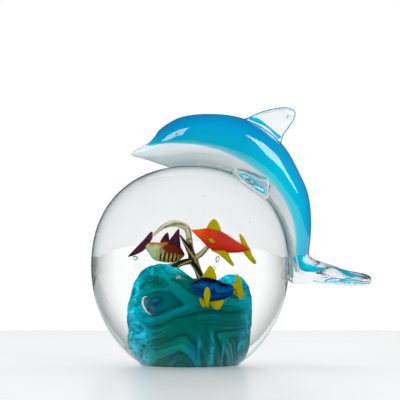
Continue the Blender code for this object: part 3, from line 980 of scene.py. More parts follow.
@dataclass
class Ball:
    """The clear ball, read from the frame.

    Attributes:
        centre_share: Height of its widest level as a share of its height.
        top_power: Superellipse power of its shoulders.
        low_reach: Half axis of its lower half, as a share of its radius.
        wobble: Unevenness of the hand-shaped surface in millimetres.
        base_edge: Height of the edge between the ball's side and its ground base.
        bevel: Distance inside that edge, and height, of each step of the polished bevel below it.
        segments: Number of points round it.
        rows: Number of steps from top to base.
    """

    centre_share: float = 0.4975
    top_power: float = 2.2
    low_reach: float = 1.1414
    wobble: float = 0.12
    base_edge: float = 0.7
    bevel: tuple[Row, ...] = ((1.2, 0.0), (0.55, 0.09), (0.15, 0.35))
    segments: int = 160
    rows: int = 110

    def __post_init__(self) -> None:
        """Read the ball's size from the frame."""
        low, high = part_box("globe")
        self.radius = (high.x - low.x) / 2 / MM
        self.height = high.z / MM
        self.centre = Vector((0.0, 0.0, self.height * self.centre_share))

    def level(self, share: float) -> tuple[float, float]:
        """Radius and height at a share of the way down the ball's outline.

        Args:
            share: 0 at the top, 0.5 at the widest level and 1 at the edge of the flat base.

        Returns:
            Radius and height in millimetres.
        """
        if share < 0.5:
            angle = math.pi * share
            rise = (self.height - self.centre.z) * max(math.cos(angle), 0.0) ** (2 / self.top_power)
            return self.radius * math.sin(angle) ** (2 / self.top_power), self.centre.z + rise
        reach = self.low_reach * self.radius
        angle = (share - 0.5) * 2 * math.asin((self.centre.z - self.base_edge) / reach)
        return self.radius * math.cos(angle), self.centre.z - reach * math.sin(angle)

    def build(self) -> None:
        """Make the ball's polished skin."""
        outline = [self.level(row / self.rows) for row in range(self.rows, 0, -1)]
        edge_radius = outline[0][0]
        bevel = [(edge_radius - inside, height) for inside, height in self.bevel]
        rings = []
        for radius, height in [*bevel, *outline]:
            ring = oval(Vector((0, 0, height)), Vector((radius, 0, 0)), Vector((0, radius, 0)), self.segments)
            for point in ring:
                swell = noise.noise(point / 34.0) * self.wobble * smooth_step(0.0, 12.0, point.z)
                point += (point - self.centre).normalized() * (swell - self.wobble)
            rings.append(ring)
        place("globe_glass", Skin.from_rings(rings), CRYSTAL, "globe")


@dataclass
class Reef:
    """The swirled teal lump, with humps, folded layers, and upright lines of painted light.

    Attributes:
        centre: Point inside it that its surface is found from.
        profile: Radius and height of its outline, from the base up.
        depth_ratio: Its depth as a share of its width.
        humps: Middle and half size of each hump.
        hump_blend: Distance over which a hump melts into the rest.
        painted_light_seams: Distance to the right and half width of each upright line of painted light.
        layer: Thickness of a swirled layer.
        swirl_seed: Seed of the noise that swirls the layers.
        floor: Height of its lowest points, inside the ball's ground base.
        inset: How far its surface stays inside the hollow for it.
        columns: Number of points round it.
        rows: Number of steps from bottom to top.
    """

    centre: Vector = field(default_factory=lambda: Vector((0.0, 1.0, 21.0)))
    profile: tuple[Row, ...] = (
        (17.3, 0.0), (19.6, 5.0), (21.0, 11.6), (21.7, 20.0), (21.4, 28.0), (20.8, 36.0), (18.4, 41.0),
        (12.5, 44.6), (4.0, 45.6),
    )
    depth_ratio: float = 0.72
    humps: tuple[tuple[Row, Row], ...] = (
        ((-9.2, 1.0, 38.5), (10.6, 10.5, 12.6)), ((13.8, 0.5, 38.4), (7.0, 8.5, 8.4)),
        ((-19.0, -1.0, 30.0), (3.4, 6.0, 5.5)), ((-18.6, 0.0, 20.0), (3.9, 7.0, 4.6)),
    )
    hump_blend: float = 2.5
    painted_light_seams: tuple[tuple[float, float], ...] = ((3.6, 0.7), (8.8, 1.3), (13.2, 0.5))
    layer: float = 5.0
    swirl_seed: int = 2
    floor: float = 0.35
    inset: float = 0.6
    columns: int = 220
    rows: int = 130

    def depth_of(self, points: np.ndarray) -> np.ndarray:
        """Signed distance to the lump without its folds, below 0 inside.

        Args:
            points: Points in millimetres, one in each row.

        Returns:
            The distance of each.
        """
        heights = [height for _, height in self.profile]
        radii = [radius for radius, _ in self.profile]
        width = np.interp(points[:, 2], heights, radii, right=0.5)
        reach = np.sqrt(points[:, 0] ** 2 + ((points[:, 1] - self.centre.y) / self.depth_ratio) ** 2)
        found = np.maximum(reach - width, (points[:, 2] - heights[-1]) * 0.7)
        for centre, half_size in self.humps:
            scaled = (points - np.array(centre)) / np.array(half_size)
            hump = (np.linalg.norm(scaled, axis=1) - 1) * min(half_size)
            found = smooth_min(hump, found, self.hump_blend)
        return found

    def rays(self) -> np.ndarray:
        """Directions from the centre, row by row from the lowest to the highest."""
        lifts = np.pi * (np.arange(self.rows + 1) / self.rows - 0.5)
        turns = 2 * np.pi * np.arange(self.columns) / self.columns
        lift, turn = np.meshgrid(lifts, turns, indexing="ij")
        rays = np.stack((np.cos(lift) * np.cos(turn), np.cos(lift) * np.sin(turn), np.sin(lift)), axis=-1)
        return rays.reshape(-1, 3)

    def reaches(self, rays: np.ndarray) -> np.ndarray:
        """Find the surface along each ray, by halving the stretch that it lies in.

        Args:
            rays: Directions from the centre, one in each row.

        Returns:
            Distance from the centre to the surface along each.
        """
        widest, halvings = 45.0, 24
        near, far = np.zeros(len(rays)), np.full(len(rays), widest)
        for _ in range(halvings):
            middle = (near + far) / 2
            outside = self.depth_of(np.array(self.centre) + rays * middle[:, None]) > 0
            far = np.where(outside, middle, far)
            near = np.where(outside, near, middle)
        return near

    def flow(self, point: Vector) -> float:
        """Place of a point in the swirled layers: nested arches low down, a hollow and a sagging top.

        Args:
            point: The point in millimetres.

        Returns:
            A number that grows by one layer's thickness from each layer to the next.
        """
        x, y, z = point + noise.noise_vector(point / 16.0) * 4.5 + noise.noise_vector(point / 6.0) * 0.7
        arches = math.hypot((x + 7.5) / 1.05, z / 1.3, (y + 12) / 3)
        hollow = math.hypot((x + 12) / 1.5, (z - 35) / 0.8, (y + 8) / 3) + 4
        hammock = 47 - z + 0.03 * (x - 11) ** 2 - 0.25 * max(x - 11, 0)
        return float(smooth_min(smooth_min(arches, hollow, 4.0), hammock, 4.0))

    def relief(self, point: Vector, flow: float) -> float:
        """Height of the folds and lumps at a point.

        Args:
            point: The point in millimetres.
            flow: Its place in the layers.

        Returns:
            The height in millimetres.
        """
        turn = 2 * math.pi * flow / self.layer
        fold = 0.1 * math.cos(turn) + 0.06 * math.cos(3 * turn)
        lump = 0.45 * noise.noise(point / 7.0) + 0.125 * noise.noise(point / 2.6)
        return (fold + lump) * smooth_step(1.0, 7.0, point.z)

    def light(self, point: Vector, side: float) -> float:
        """Painted light: brightness painted where light would come through the thin glass at the left edge,
        the humps' tops and the upright lines.

        Args:
            point: The point in millimetres.
            side: Painted light from the left edge.

        Returns:
            The painted light, about 1 at its brightest.
        """
        painted_level = max(side, 0.85 * smooth_step(43.0, 49.0, point.z), 0.5 * smooth_step(17.5, 20.5, point.x),
                     smooth_step(39.0, 44.0, point.z) * smooth_step(6.0, 11.0, point.x))
        for column, width in self.painted_light_seams:
            near = smooth_step(width, 0.3 * width, abs(point.x - column))
            painted_level = max(painted_level, 0.55 * near * smooth_step(26.0, 16.0, point.z))
        return painted_level * (0.7 + 0.6 * noise.noise(point / 4.0))

    def build(self) -> None:
        """Make the lump."""
        noise.seed_set(self.swirl_seed)
        rays = self.rays()
        points, flows, painted_light = [], [], []
        for ray, reach in zip(rays, self.reaches(rays)):
            direction = Vector(ray)
            point = self.centre + direction * reach
            flow = self.flow(point)
            # Painted light from the left grows towards the left edge.
            side = smooth_step(13.0, 19.5, -point.x)
            point += direction * (self.relief(point, flow) - self.inset)
            point.z = max(point.z, self.floor)
            points.append(point)
            flows.append(flow)
            painted_light.append(self.light(point, side))
        rings = [points[row * self.columns:(row + 1) * self.columns] for row in range(1, self.rows)]
        skin = Skin.from_rings(rings)
        inner = slice(self.columns, -self.columns)
        skin.values = {"flow": flows[inner], "painted_light": painted_light[inner]}
        place("reef_lump", skin, REEF_GLASS, "reef_core")


@dataclass
class Species:
    """One lampworked fish: its body's sections, its fins, its stalk and its finishes.

    Attributes:
        name: Name of the fish and the start of its nodes' names.
        body: Sections from nose to tail: x and z of the top, x and z of the bottom, and the half width.
        body_finish: Finish of its body.
        fins: Node name's end, outline, thickness, distance to its left and finish.
        stem: Points of the clear stalk that it stands on.
        stem_radii: Radius of the stalk at each point.
        fullness: Superellipse power of its sections.
        unevenness: Height of the hand-worked lumps on its body.
        sides: Number of points round its body.
        rows: Number of steps along its body.
    """

    name: str
    body: tuple[Row, ...]
    body_finish: Finish
    fins: tuple[tuple[str, tuple[Row, ...], float, float, Finish], ...]
    stem: tuple[Row, ...]
    stem_radii: tuple[float, ...]
    fullness: float = 2.15
    unevenness: float = 0.14
    sides: int = 40
    rows: int = 64

    def build(self) -> None:
        """Make the body, the fins and the stem."""
        low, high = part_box(f"{self.name}_body")
        y = (low.y + high.y) / 2 / MM
        towards_tail = math.copysign(1.0, self.body[-1][0] - self.body[0][0])
        rings, fractions, rises = [], [], []
        for row, (top_x, top_z, low_x, low_z, half_width) in enumerate(resample(self.body, self.rows)):
            top, bottom = Vector((top_x, y, top_z)), Vector((low_x, y, low_z))
            middle = (top + bottom) / 2
            side = Vector((0.0, half_width * towards_tail, 0.0))
            ring = oval(middle, side, (top - bottom) / 2, self.sides, self.fullness)
            for index, point in enumerate(ring):
                point += (point - middle).normalized() * self.unevenness * noise.noise(point / 1.9)
                fractions.append(row / self.rows)
                rises.append(math.sin(2 * math.pi * index / self.sides))
            rings.append(ring)
        body = Skin.from_rings(rings)
        body.values = {"along": fractions, "rise": rises}
        place(f"{self.name}_body_glass", body, self.body_finish, f"{self.name}_body")
        for end, outline, thickness, left, finish in self.fins:
            fin = pillow(outline, y - left, thickness)
            place(f"{self.name}_{end}_glass", fin, finish, f"{self.name}_{end}")
        place(f"{self.name}_stem_glass", rod(self.stem, self.stem_radii), STEM_GLASS, f"{self.name}_stem")


SIDE_FIN = ((6.8, 60.5), (8.0, 60.4), (9.1, 59.0), (7.6, 58.9))
PECTORAL_FIN = ((6.9, 41.0), (8.3, 38.6), (8.0, 35.0), (7.0, 32.6), (6.0, 35.0), (5.7, 38.6))
SHOAL = (
    Species(
        "orange_fish",
        ((0.6, 63.6, 0.6, 63.2, 0.25), (2.0, 63.5, 1.6, 62.0, 0.8), (4.2, 63.8, 3.3, 60.3, 1.4),
         (7.0, 64.2, 6.0, 57.4, 2.2), (10.0, 63.5, 8.6, 55.6, 2.6), (13.2, 61.9, 11.6, 55.2, 2.5),
         (16.4, 59.7, 15.0, 54.9, 2.0), (19.2, 58.3, 18.2, 55.1, 1.5), (21.3, 57.2, 20.8, 55.6, 1.1),
         (22.2, 56.5, 22.0, 56.0, 0.5)),
        RED_BODY,
        (
            ("dorsal_fin", ((6.0, 63.2), (6.8, 65.9), (8.6, 67.5), (10.2, 66.1), (11.1, 62.6), (8.6, 61.8)),
             1.6, 0.0, FIN_YELLOW),
            ("upper_tail_lobe", ((18.1, 62.0), (19.4, 61.2), (21.0, 58.4), (22.3, 55.8), (20.6, 56.2),
                                 (18.6, 58.8)), 1.5, 0.0, FIN_YELLOW),
            ("lower_tail_lobe", ((19.0, 56.0), (21.6, 56.9), (23.0, 54.0), (24.6, 51.3), (23.6, 50.5),
                                 (21.2, 52.8)), 1.5, 0.0, FIN_YELLOW),
            ("pelvic_fin", ((7.6, 55.9), (10.4, 57.0), (13.0, 56.2), (14.5, 53.0), (15.9, 50.2), (15.0, 49.8),
                            (12.0, 52.8), (9.8, 54.6)), 3.4, 0.0, FIN_YELLOW),
            ("left_side_fin", SIDE_FIN, 0.9, 2.6, FIN_YELLOW),
            ("right_side_fin", SIDE_FIN, 0.9, -2.6, FIN_YELLOW),
        ),
        ((10.8, -7.0, 55.4), (9.9, -7.0, 51.9), (8.7, -7.0, 47.6), (7.6, -6.4, 42.0)),
        (0.8, 1.0, 0.7, 0.9),
    ),
    Species(
        "blue_fish",
        ((-0.2, 42.1, -0.2, 41.5, 0.3), (1.0, 42.8, 0.8, 40.4, 0.9), (2.6, 43.7, 2.4, 38.6, 1.6),
         (4.8, 45.0, 4.6, 36.2, 2.4), (7.2, 45.1, 7.2, 34.9, 2.8), (10.0, 44.3, 9.8, 34.9, 2.8),
         (12.6, 42.9, 12.6, 35.3, 2.4), (15.2, 42.3, 15.2, 36.6, 1.8), (17.2, 41.8, 17.3, 38.0, 1.2),
         (18.0, 40.8, 18.0, 39.0, 0.6)),
        NAVY_BODY,
        (
            ("dorsal_fin", ((4.4, 44.2), (5.9, 47.0), (8.0, 49.9), (9.8, 47.6), (10.5, 43.8), (7.2, 43.0)),
             1.6, 0.0, FIN_YELLOW),
            ("tail_fin", ((16.6, 41.6), (18.2, 43.0), (18.9, 46.4), (20.4, 44.6), (21.4, 40.6), (22.4, 37.6),
                          (20.9, 35.4), (18.9, 37.4), (17.2, 38.6)), 1.6, 0.0, TAIL_YELLOW),
            ("left_pectoral_fin", PECTORAL_FIN, 1.2, 2.9, FIN_YELLOW),
            ("right_pectoral_fin", PECTORAL_FIN, 1.2, -2.9, FIN_YELLOW),
            ("front_pelvic_fin", ((3.9, 36.8), (5.6, 36.6), (6.4, 33.9), (5.7, 32.4), (4.4, 33.8)), 1.5, 0.0,
             FIN_YELLOW),
            ("rear_pelvic_fin", ((8.0, 35.9), (10.8, 36.6), (13.6, 35.6), (12.7, 32.6), (11.2, 31.2),
                                 (9.0, 32.6)), 1.8, 0.0, FIN_YELLOW),
        ),
        ((7.4, -20.0, 35.6), (7.4, -19.8, 29.0), (6.4, -17.5, 20.0), (5.8, -12.0, 13.0)),
        (0.8, 0.7, 0.7, 0.8),
    ),
    Species(
        "amber_fish",
        ((-1.7, 54.0, -1.8, 53.2, 0.4), (-2.5, 55.7, -2.9, 52.1, 1.3), (-3.8, 57.4, -4.5, 51.1, 2.0),
         (-6.4, 58.5, -7.0, 50.9, 2.4), (-8.8, 58.2, -9.4, 51.3, 2.2), (-11.4, 58.1, -11.6, 52.1, 1.7),
         (-13.2, 58.1, -13.2, 54.6, 1.1), (-14.4, 57.7, -14.4, 56.4, 0.6)),
        AMBER_BODY,
        (
            ("front_dorsal_spine", ((-6.6, 58.4), (-5.4, 60.4), (-3.6, 62.6), (-3.3, 59.8), (-3.0, 56.0),
                                    (-4.8, 56.8)), 3.6, 0.0, FIN_MAROON),
            ("rear_dorsal_spine", ((-9.4, 57.8), (-8.6, 60.0), (-7.1, 61.4), (-6.6, 59.2), (-6.6, 57.6)),
             1.6, 0.0, FIN_MAROON),
            ("tail_fin", ((-12.4, 61.7), (-11.8, 60.2), (-13.0, 57.6), (-15.3, 54.9), (-19.7, 53.1),
                          (-17.3, 56.2), (-14.6, 59.2)), 1.7, 0.0, FIN_MAROON),
        ),
        ((-16.3, 6.0, 55.0), (-16.8, 6.0, 51.6), (-15.6, 5.4, 46.0), (-13.0, 4.0, 41.0)),
        (0.6, 1.0, 0.8, 0.8),
    ),
)


@dataclass
class Coral:
    """The lampworked twig: twisted amber and olive cane with a pale arch.

    Attributes:
        branches: Node name, points, radius at each point and finish of each branch.
        sides: Number of sides of a branch.
        twist: Turns of its coloured stripes for each millimetre.
    """

    branches: tuple[tuple[str, tuple[Row, ...], tuple[float, ...], Finish], ...] = (
        ("coral_trunk",
         ((4.4, 1.0, 42.5), (2.8, 1.0, 47.4), (1.2, 1.0, 51.6), (0.2, 1.0, 55.6), (-0.3, 1.2, 59.6)),
         (1.6, 1.2, 1.5, 1.1, 1.0), OLIVE_CANE),
        ("coral_left_arm",
         ((1.2, 1.0, 51.6), (-2.2, 0.4, 51.0), (-6.2, -0.4, 49.2)), (1.3, 1.2, 1.5), OLIVE_CANE),
        ("coral_right_arm",
         ((0.8, 1.0, 52.6), (3.4, 1.2, 54.0), (6.4, 1.6, 57.4)), (1.1, 1.0, 0.8), IVORY_CANE),
        ("coral_spike",
         ((0.7, 1.0, 53.2), (-0.9, 0.4, 56.9), (-3.3, -0.4, 60.9)), (1.1, 0.9, 0.3), OLIVE_CANE),
        ("coral_arch",
         ((-0.3, 1.2, 59.0), (-1.0, 1.4, 63.0), (-4.4, 1.6, 64.7), (-8.4, 1.6, 64.0), (-12.2, 1.8, 60.9)),
         (0.9, 1.1, 1.1, 0.8, 0.4), IVORY_CANE),
    )
    sides: int = 28
    twist: float = 0.05

    def build(self) -> None:
        """Make every branch."""
        for name, points, radii, finish in self.branches:
            place(f"{name}_cane", rod(points, radii, self.sides, self.twist), finish, name)


@dataclass
class Bubbles:
    """Air trapped in the ball and in the dorsal fin.

    Attributes:
        trapped: Centre, radii and lean in degrees about Y of each bubble, the largest first.
        edge_arc: First and last angle of the painted highlight along the edge of the largest, in degrees from
            its right.
        edge_radii: Radius of that painted highlight at each of its points.
        edge_front: How far the edge stands before the bubble's middle.
        reef_front: Bubbles before this and below reef_top lie over the reef, and take a teal tint, a painted
            reflection of it.
        reef_top: Height of the reef.
    """

    trapped: tuple[tuple[Row, Row, float], ...] = (
        ((-15.6, -12.4, 33.6), (2.2, 0.3, 3.8), -22.0),
        ((9.9, -7.4, 52.4), (0.75, 0.75, 1.3), 12.0),
        ((8.6, -7.0, 48.6), (0.5, 0.5, 0.9), 10.0),
        ((-17.4, 6.0, 52.6), (0.95, 0.9, 0.9), 0.0),
        ((-4.3, -13.0, 45.0), (0.8, 0.6, 0.8), 0.0),
        ((-4.6, -14.6, 27.5), (0.5, 0.5, 0.5), 0.0),
        ((-12.0, -13.6, 24.0), (0.35, 0.3, 0.5), 0.0),
        ((-16.6, -11.2, 17.4), (0.35, 0.3, 0.8), 10.0),
        ((-8.0, -14.4, 18.6), (0.4, 0.3, 0.4), 0.0),
        ((13.4, -16.0, 35.4), (0.55, 0.5, 0.6), 0.0),
        ((-1.2, 0.0, 63.6), (0.5, 0.5, 0.5), 0.0),
        ((0.0, -0.6, 58.8), (0.4, 0.4, 0.6), 0.0),
        ((5.0, -8.0, 76.0), (0.28, 0.28, 0.28), 0.0),
        ((22.0, -5.0, 66.5), (0.25, 0.25, 0.25), 0.0),
        ((-9.0, -14.0, 67.0), (0.22, 0.22, 0.22), 0.0),
        ((48.8, -0.2, 124.2), (0.7, 0.6, 1.0), 15.0),
    )
    edge_arc: tuple[float, float] = (70.0, 250.0)
    edge_radii: tuple[float, ...] = (0.1, 0.2, 0.32, 0.4, 0.4, 0.4, 0.3, 0.2, 0.1)
    edge_front: float = 0.4
    reef_front: float = -10.0
    reef_top: float = 40.0

    def build(self) -> None:
        """Make every bubble, and the painted highlight on the largest."""
        for number, (centre, radii, lean) in enumerate(self.trapped, 1):
            bubble = ball_of((0.0, 0.0, 0.0), radii)
            turn = Matrix.Rotation(math.radians(lean), 3, "Y")
            bubble.points = [turn @ point + Vector(centre) for point in bubble.points]
            over_reef = centre[1] < self.reef_front and centre[2] < self.reef_top
            place(f"air_bubble_{number}", bubble, REEF_AIR if over_reef else AIR)
        self.painted_highlight_crescent()

    def painted_highlight_crescent(self) -> None:
        """Make the pale crescent of painted highlight along the edge of the largest bubble."""
        (centre, radii, lean), (start, end) = self.trapped[0], self.edge_arc
        turn = Matrix.Rotation(math.radians(lean), 3, "Y")
        steps = len(self.edge_radii) - 1
        arc = []
        for step in range(steps + 1):
            angle = math.radians(start + (end - start) * step / steps)
            point = Vector((radii[0] * math.cos(angle), -self.edge_front, radii[2] * math.sin(angle)))
            arc.append(turn @ point + Vector(centre))
        # Painted highlight: a pale rod standing for the bubble's bright edge.
        place("air_bubble_1_painted_highlight", rod(arc, self.edge_radii, PAINTED_ROD_SIDES), PAINTED_HIGHLIGHT_GLASS)


@dataclass
class Dolphin:
    """The dolphin: clear skin with its fins drawn from it, and a blue and white core.

    The stations of the skin and the core are about the ball's centre: angle from vertical in degrees, inner
    radius, outer radius and half width.

    Attributes:
        ball: The ball that it lies on.
        skin_stations: Stations of the clear skin from the beak to the tail stock.
        core_stations: Stations of the coloured core.
        belly_line: Angle and radius of the line between the blue back and the white belly.
        tail_stations: X and height of the lower and of the upper edge, and half width, along the tail.
        fin_outline: Outline of the dorsal fin, in X and Z.
        fin_thickness: Thickness of the dorsal fin.
        flipper_stations: Points of the front and the rear edge, and thickness, from the flipper's root out.
        streaks: Points and radii of each cyan streak.
        painted_refraction_loops: Centre, half length, half width and slope, and radius, of each blue loop in
            a flipper, painted refraction of the blue core seen through it.
        painted_keel_lines: Name, finish, radius, distance to the side, and angles and radii of each line
            along the ball: a pale line of painted highlight, and a grey-teal band that is partly tinted glass
            and partly painted shade.
        highlight_inset: How far the pale painted highlight round a flipper lies inside its edges, as a share
            of its width.
        highlight_radius: Radius of that painted highlight.
        eye_swell: X, height, spread and rise of the skin's swelling round the eye.
        eye_bead: Half size of an eye.
        eye_depth: How far an eye is drawn back into the head.
        clearance: Gap between the skin and the ball.
        sides: Number of points round the skin and the core.
        rings: Number of steps along them.
    """

    ball: Ball
    skin_stations: tuple[Row, ...] = (
        (-27.9, 62.2, 63.2, 0.7), (-26.2, 60.6, 63.9, 1.7), (-23.4, 58.2, 64.3, 2.8),
        (-20.4, 55.8, 64.6, 4.2), (-17.9, 53.9, 65.3, 5.5), (-15.1, 52.2, 67.3, 6.9),
        (-12.8, 50.9, 69.7, 8.2), (-9.2, 48.5, 71.9, 9.8),
        (-4.6, 48.5, 74.2, 11.0), (0.0, 48.5, 75.4, 11.8), (6.8, 48.5, 76.6, 12.6), (18.0, 48.5, 78.3, 13.2),
        (29.0, 48.5, 78.4, 13.2), (38.5, 48.5, 76.0, 12.7), (49.0, 48.5, 72.0, 11.3), (58.0, 48.5, 69.4, 9.9),
        (68.0, 48.5, 65.3, 8.3), (79.0, 48.5, 61.1, 6.6), (84.5, 48.8, 59.7, 5.8),
    )
    core_stations: tuple[Row, ...] = (
        (-27.4, 62.3, 63.3, 0.55), (-25.8, 60.9, 63.7, 1.5), (-23.2, 58.6, 64.05, 2.55),
        (-20.4, 56.5, 64.3, 3.8), (-17.9, 54.8, 64.9, 4.9), (-15.1, 53.6, 66.8, 6.0),
        (-12.8, 52.9, 68.8, 7.0),
        (-9.0, 52.4, 70.6, 8.4), (-3.0, 52.2, 73.2, 10.0), (7.0, 52.4, 75.2, 11.2), (18.0, 53.4, 76.2, 11.7),
        (25.0, 53.9, 74.6, 11.6), (33.0, 53.9, 72.8, 11.3), (41.0, 53.5, 71.2, 10.7), (49.0, 53.2, 69.8, 9.6),
        (58.0, 52.9, 67.8, 8.4), (68.0, 52.5, 64.0, 6.7), (74.0, 52.3, 61.6, 5.4), (80.0, 52.2, 59.0, 3.8),
        (85.0, 52.6, 56.8, 2.4), (89.0, 53.4, 55.8, 1.4),
    )
    belly_line: tuple[Row, ...] = (
        (-30.0, 66.5), (-23.0, 65.5), (-20.0, 64.2), (-18.0, 62.9), (-13.0, 62.4), (-4.0, 60.9), (8.0, 60.0),
        (25.0, 58.6), (44.0, 58.0), (56.0, 57.2), (66.0, 56.0), (75.0, 54.6), (86.0, 52.4), (92.0, 52.0),
    )
    tail_stations: tuple[Row, ...] = (
        (49.6, 57.6, 59.4, 58.6, 5.6), (48.9, 53.8, 59.6, 54.9, 5.8), (48.4, 47.6, 62.2, 52.9, 6.2),
        (50.2, 41.2, 66.2, 51.4, 7.6), (60.0, 40.8, 70.6, 50.0, 10.4), (70.0, 40.4, 76.0, 48.4, 14.6),
        (78.5, 39.8, 81.8, 47.3, 18.6), (85.4, 39.5, 87.0, 46.4, 20.4), (88.6, 40.4, 89.7, 44.8, 19.6),
    )
    fin_outline: tuple[Row, ...] = (
        (26.0, 121.6), (30.2, 124.3), (36.0, 126.8), (43.0, 128.5), (48.8, 128.8), (52.4, 127.0),
        (52.4, 123.4), (49.6, 118.8), (46.6, 114.6), (44.6, 109.5), (38.0, 110.0), (31.0, 115.5),
    )
    fin_thickness: float = 5.2
    flipper_stations: tuple[Row, ...] = (
        (20.5, -6.5, 99.0, 38.5, -5.5, 94.0, 4.8), (21.6, -15.5, 94.5, 40.0, -12.0, 90.8, 4.2),
        (27.0, -21.0, 89.6, 39.2, -17.5, 86.6, 3.6), (34.0, -20.6, 85.4, 38.0, -19.0, 83.0, 2.0),
    )
    streaks: tuple[tuple[tuple[Row, ...], tuple[float, ...]], ...] = (
        (((54.6, 0.0, 57.0), (54.8, 0.0, 52.4), (57.4, 0.0, 48.6), (62.0, -1.0, 46.8), (67.6, -2.0, 46.0)),
         (2.0, 2.1, 1.9, 1.5, 0.5)),
        (((67.0, -4.0, 49.6), (73.0, -6.0, 47.4), (77.0, -8.0, 44.8), (80.4, -9.0, 42.4),
          (84.6, -10.0, 41.6)), (0.4, 0.8, 1.5, 1.1, 0.6)),
        (((67.0, 4.0, 49.2), (73.0, 6.0, 46.8), (78.0, 8.0, 44.4), (83.0, 9.0, 42.6)), (0.4, 0.8, 1.0, 0.5)),
        (((62.0, -3.0, 43.8), (67.0, -5.0, 42.6), (72.0, -7.0, 42.0)), (0.3, 0.5, 0.3)),
        (((29.8, 0.0, 123.0), (33.6, 0.0, 122.3), (39.2, 0.0, 118.9), (44.4, 0.0, 114.0)),
         (0.6, 1.1, 0.5, 0.9)),
    )
    painted_refraction_loops: tuple[tuple[Row, Row, float], ...] = (
        ((28.8, -16.2, 91.2), (4.6, 1.9, 42.0), 0.55), ((35.2, -19.2, 87.2), (1.9, 1.0, 50.0), 0.4),
    )
    painted_keel_lines: tuple[tuple[str, Finish, float, float, tuple[Row, ...]], ...] = (
        ("painted_highlight_line", PAINTED_HIGHLIGHT_GLASS, 0.42, 4.4, (
            (4.0, 51.6), (15.0, 52.3), (30.0, 53.0), (45.0, 53.4), (58.0, 53.4), (68.0, 53.1), (78.0, 52.9),
            (86.0, 53.2), (93.0, 54.6))),
        ("keel_shade", KEEL_SHADE, 0.85, 3.0, (
            (24.0, 51.9), (40.0, 52.2), (60.0, 52.0), (75.0, 51.4), (88.0, 51.0), (96.0, 51.4))),
    )
    highlight_inset: float = 0.1
    highlight_radius: float = 0.7
    eye_swell: Row = (-13.6, 111.4, 2.4, 0.4)
    eye_bead: Row = (0.62, 0.35, 0.62)
    eye_depth: float = 0.45
    clearance: float = 0.12
    sides: int = 112
    rings: int = 240

    def arched(self, stations: Sequence[Row]) -> Skin:
        """Skin of oval sections that stand on the ball's centre like spokes.

        Args:
            stations: Angle, inner radius, outer radius and half width of each.

        Returns:
            The skin, with two values: along runs from 0 to 1, and rise is 0 on the line between the belly
            and the back and 1 at the outer edge.
        """
        rings, rises, places = [], [], []
        for row, (angle, inner, outer, half_width) in enumerate(resample(stations, self.rings)):
            ray = spoke(angle)
            middle = self.ball.centre + ray * (inner + outer) / 2
            ring = oval(middle, Vector((0, half_width, 0)), ray * (outer - inner) / 2, self.sides)
            line = float(np.interp(angle, *zip(*self.belly_line)))
            depth = max(outer - line, 4.0)
            rises += [(math.hypot(point.x, point.z - self.ball.centre.z) - line) / depth for point in ring]
            places += [row / self.rings] * self.sides
            rings.append(ring)
        skin = Skin.from_rings(rings)
        skin.values = {"rise": rises, "along": places}
        return skin

    def tail(self) -> Skin:
        """Skin of the tail stock and the flukes."""
        rings = []
        for low_x, low_z, high_x, high_z, half_width in resample(self.tail_stations, 60):
            low, high = Vector((low_x, 0, low_z)), Vector((high_x, 0, high_z))
            ring = oval((low + high) / 2, Vector((0, half_width, 0)), (high - low) / 2, 64, 1.9)
            for point in ring:
                spread = smooth_step(64.0, 84.0, point.x)
                notch = max(0.0, 1 - abs(point.y) / 9.0) * smooth_step(72.0, 90.0, point.x) * 9.0
                point.x -= notch
                point.z -= spread * (abs(point.y) / 20.0) ** 2 * 1.2
            rings.append(ring)
        return Skin.from_rings(rings)

    def flipper(self, mirror: int) -> Skin:
        """Skin of one flipper.

        Args:
            mirror: 1 for the left one and -1 for the right one.

        Returns:
            The closed skin.
        """
        flip = Matrix.Diagonal((1, mirror, 1))
        rings = []
        for *edges, thickness in resample(self.flipper_stations, 30):
            lead, trail = flip @ Vector(edges[:3]), flip @ Vector(edges[3:])
            middle, chord = (lead + trail) / 2, (trail - lead) / 2
            outward = middle - self.ball.centre
            normal = (outward - outward.project(chord)).normalized()
            rings.append(oval(middle, chord, normal * thickness / 2, 48))
        return Skin.from_rings(rings)

    def helper(self, name: str, skin: Skin) -> bpy.types.Object:
        """Make a shape to join to another or to cut it with.

        Args:
            name: Its name.
            skin: Its surface.

        Returns:
            The object, to be removed after use.
        """
        shape = bpy.data.objects.new(name, skin.mesh(name))
        bpy.context.scene.collection.objects.link(shape)
        return shape

    def clear_skin(self) -> bpy.types.Mesh:
        """Join the body, the tail and the fins into one skin, and take the ball's room out of it.

        Returns:
            The joined mesh.
        """
        shell = self.arched(self.skin_stations)
        swell_x, swell_z, spread, height = self.eye_swell
        for point in shell.points:
            away = math.hypot(point.x - swell_x, point.z - swell_z) / spread
            point.y += math.copysign(height * math.exp(-away * away), point.y)
        body = self.helper("dolphin_clear_glass", shell)
        added = [
            self.helper("tail", self.tail()),
            self.helper("fin", pillow(self.fin_outline, 0.0, self.fin_thickness)),
            self.helper("left", self.flipper(1)),
            self.helper("right", self.flipper(-1)),
        ]
        ball = Skin.from_rings([
            oval(Vector((0, 0, height)), Vector((radius, 0, 0)), Vector((0, radius, 0)), 120)
            for radius, height in (self.ball.level(row / 80) for row in range(80, 0, -1))
        ])
        for point in ball.points:
            point += (point - self.ball.centre).normalized() * self.clearance
        removed = [self.helper("ball_room", ball)]
        for operation, shapes in (("UNION", added), ("DIFFERENCE", removed)):
            for shape in shapes:
                boolean = body.modifiers.new(operation.lower(), "BOOLEAN")
                boolean.operation = operation
                boolean.solver = "EXACT"
                boolean.object = shape
        bpy.context.view_layer.update()
        joined = bpy.data.meshes.new_from_object(body.evaluated_get(bpy.context.evaluated_depsgraph_get()))
        for shape in (body, *added, *removed):
            bpy.data.objects.remove(shape)
        joined.name = "dolphin_clear_glass"
        joined.shade_smooth()
        joined.set_sharp_from_angle(angle=math.radians(40))
        return joined

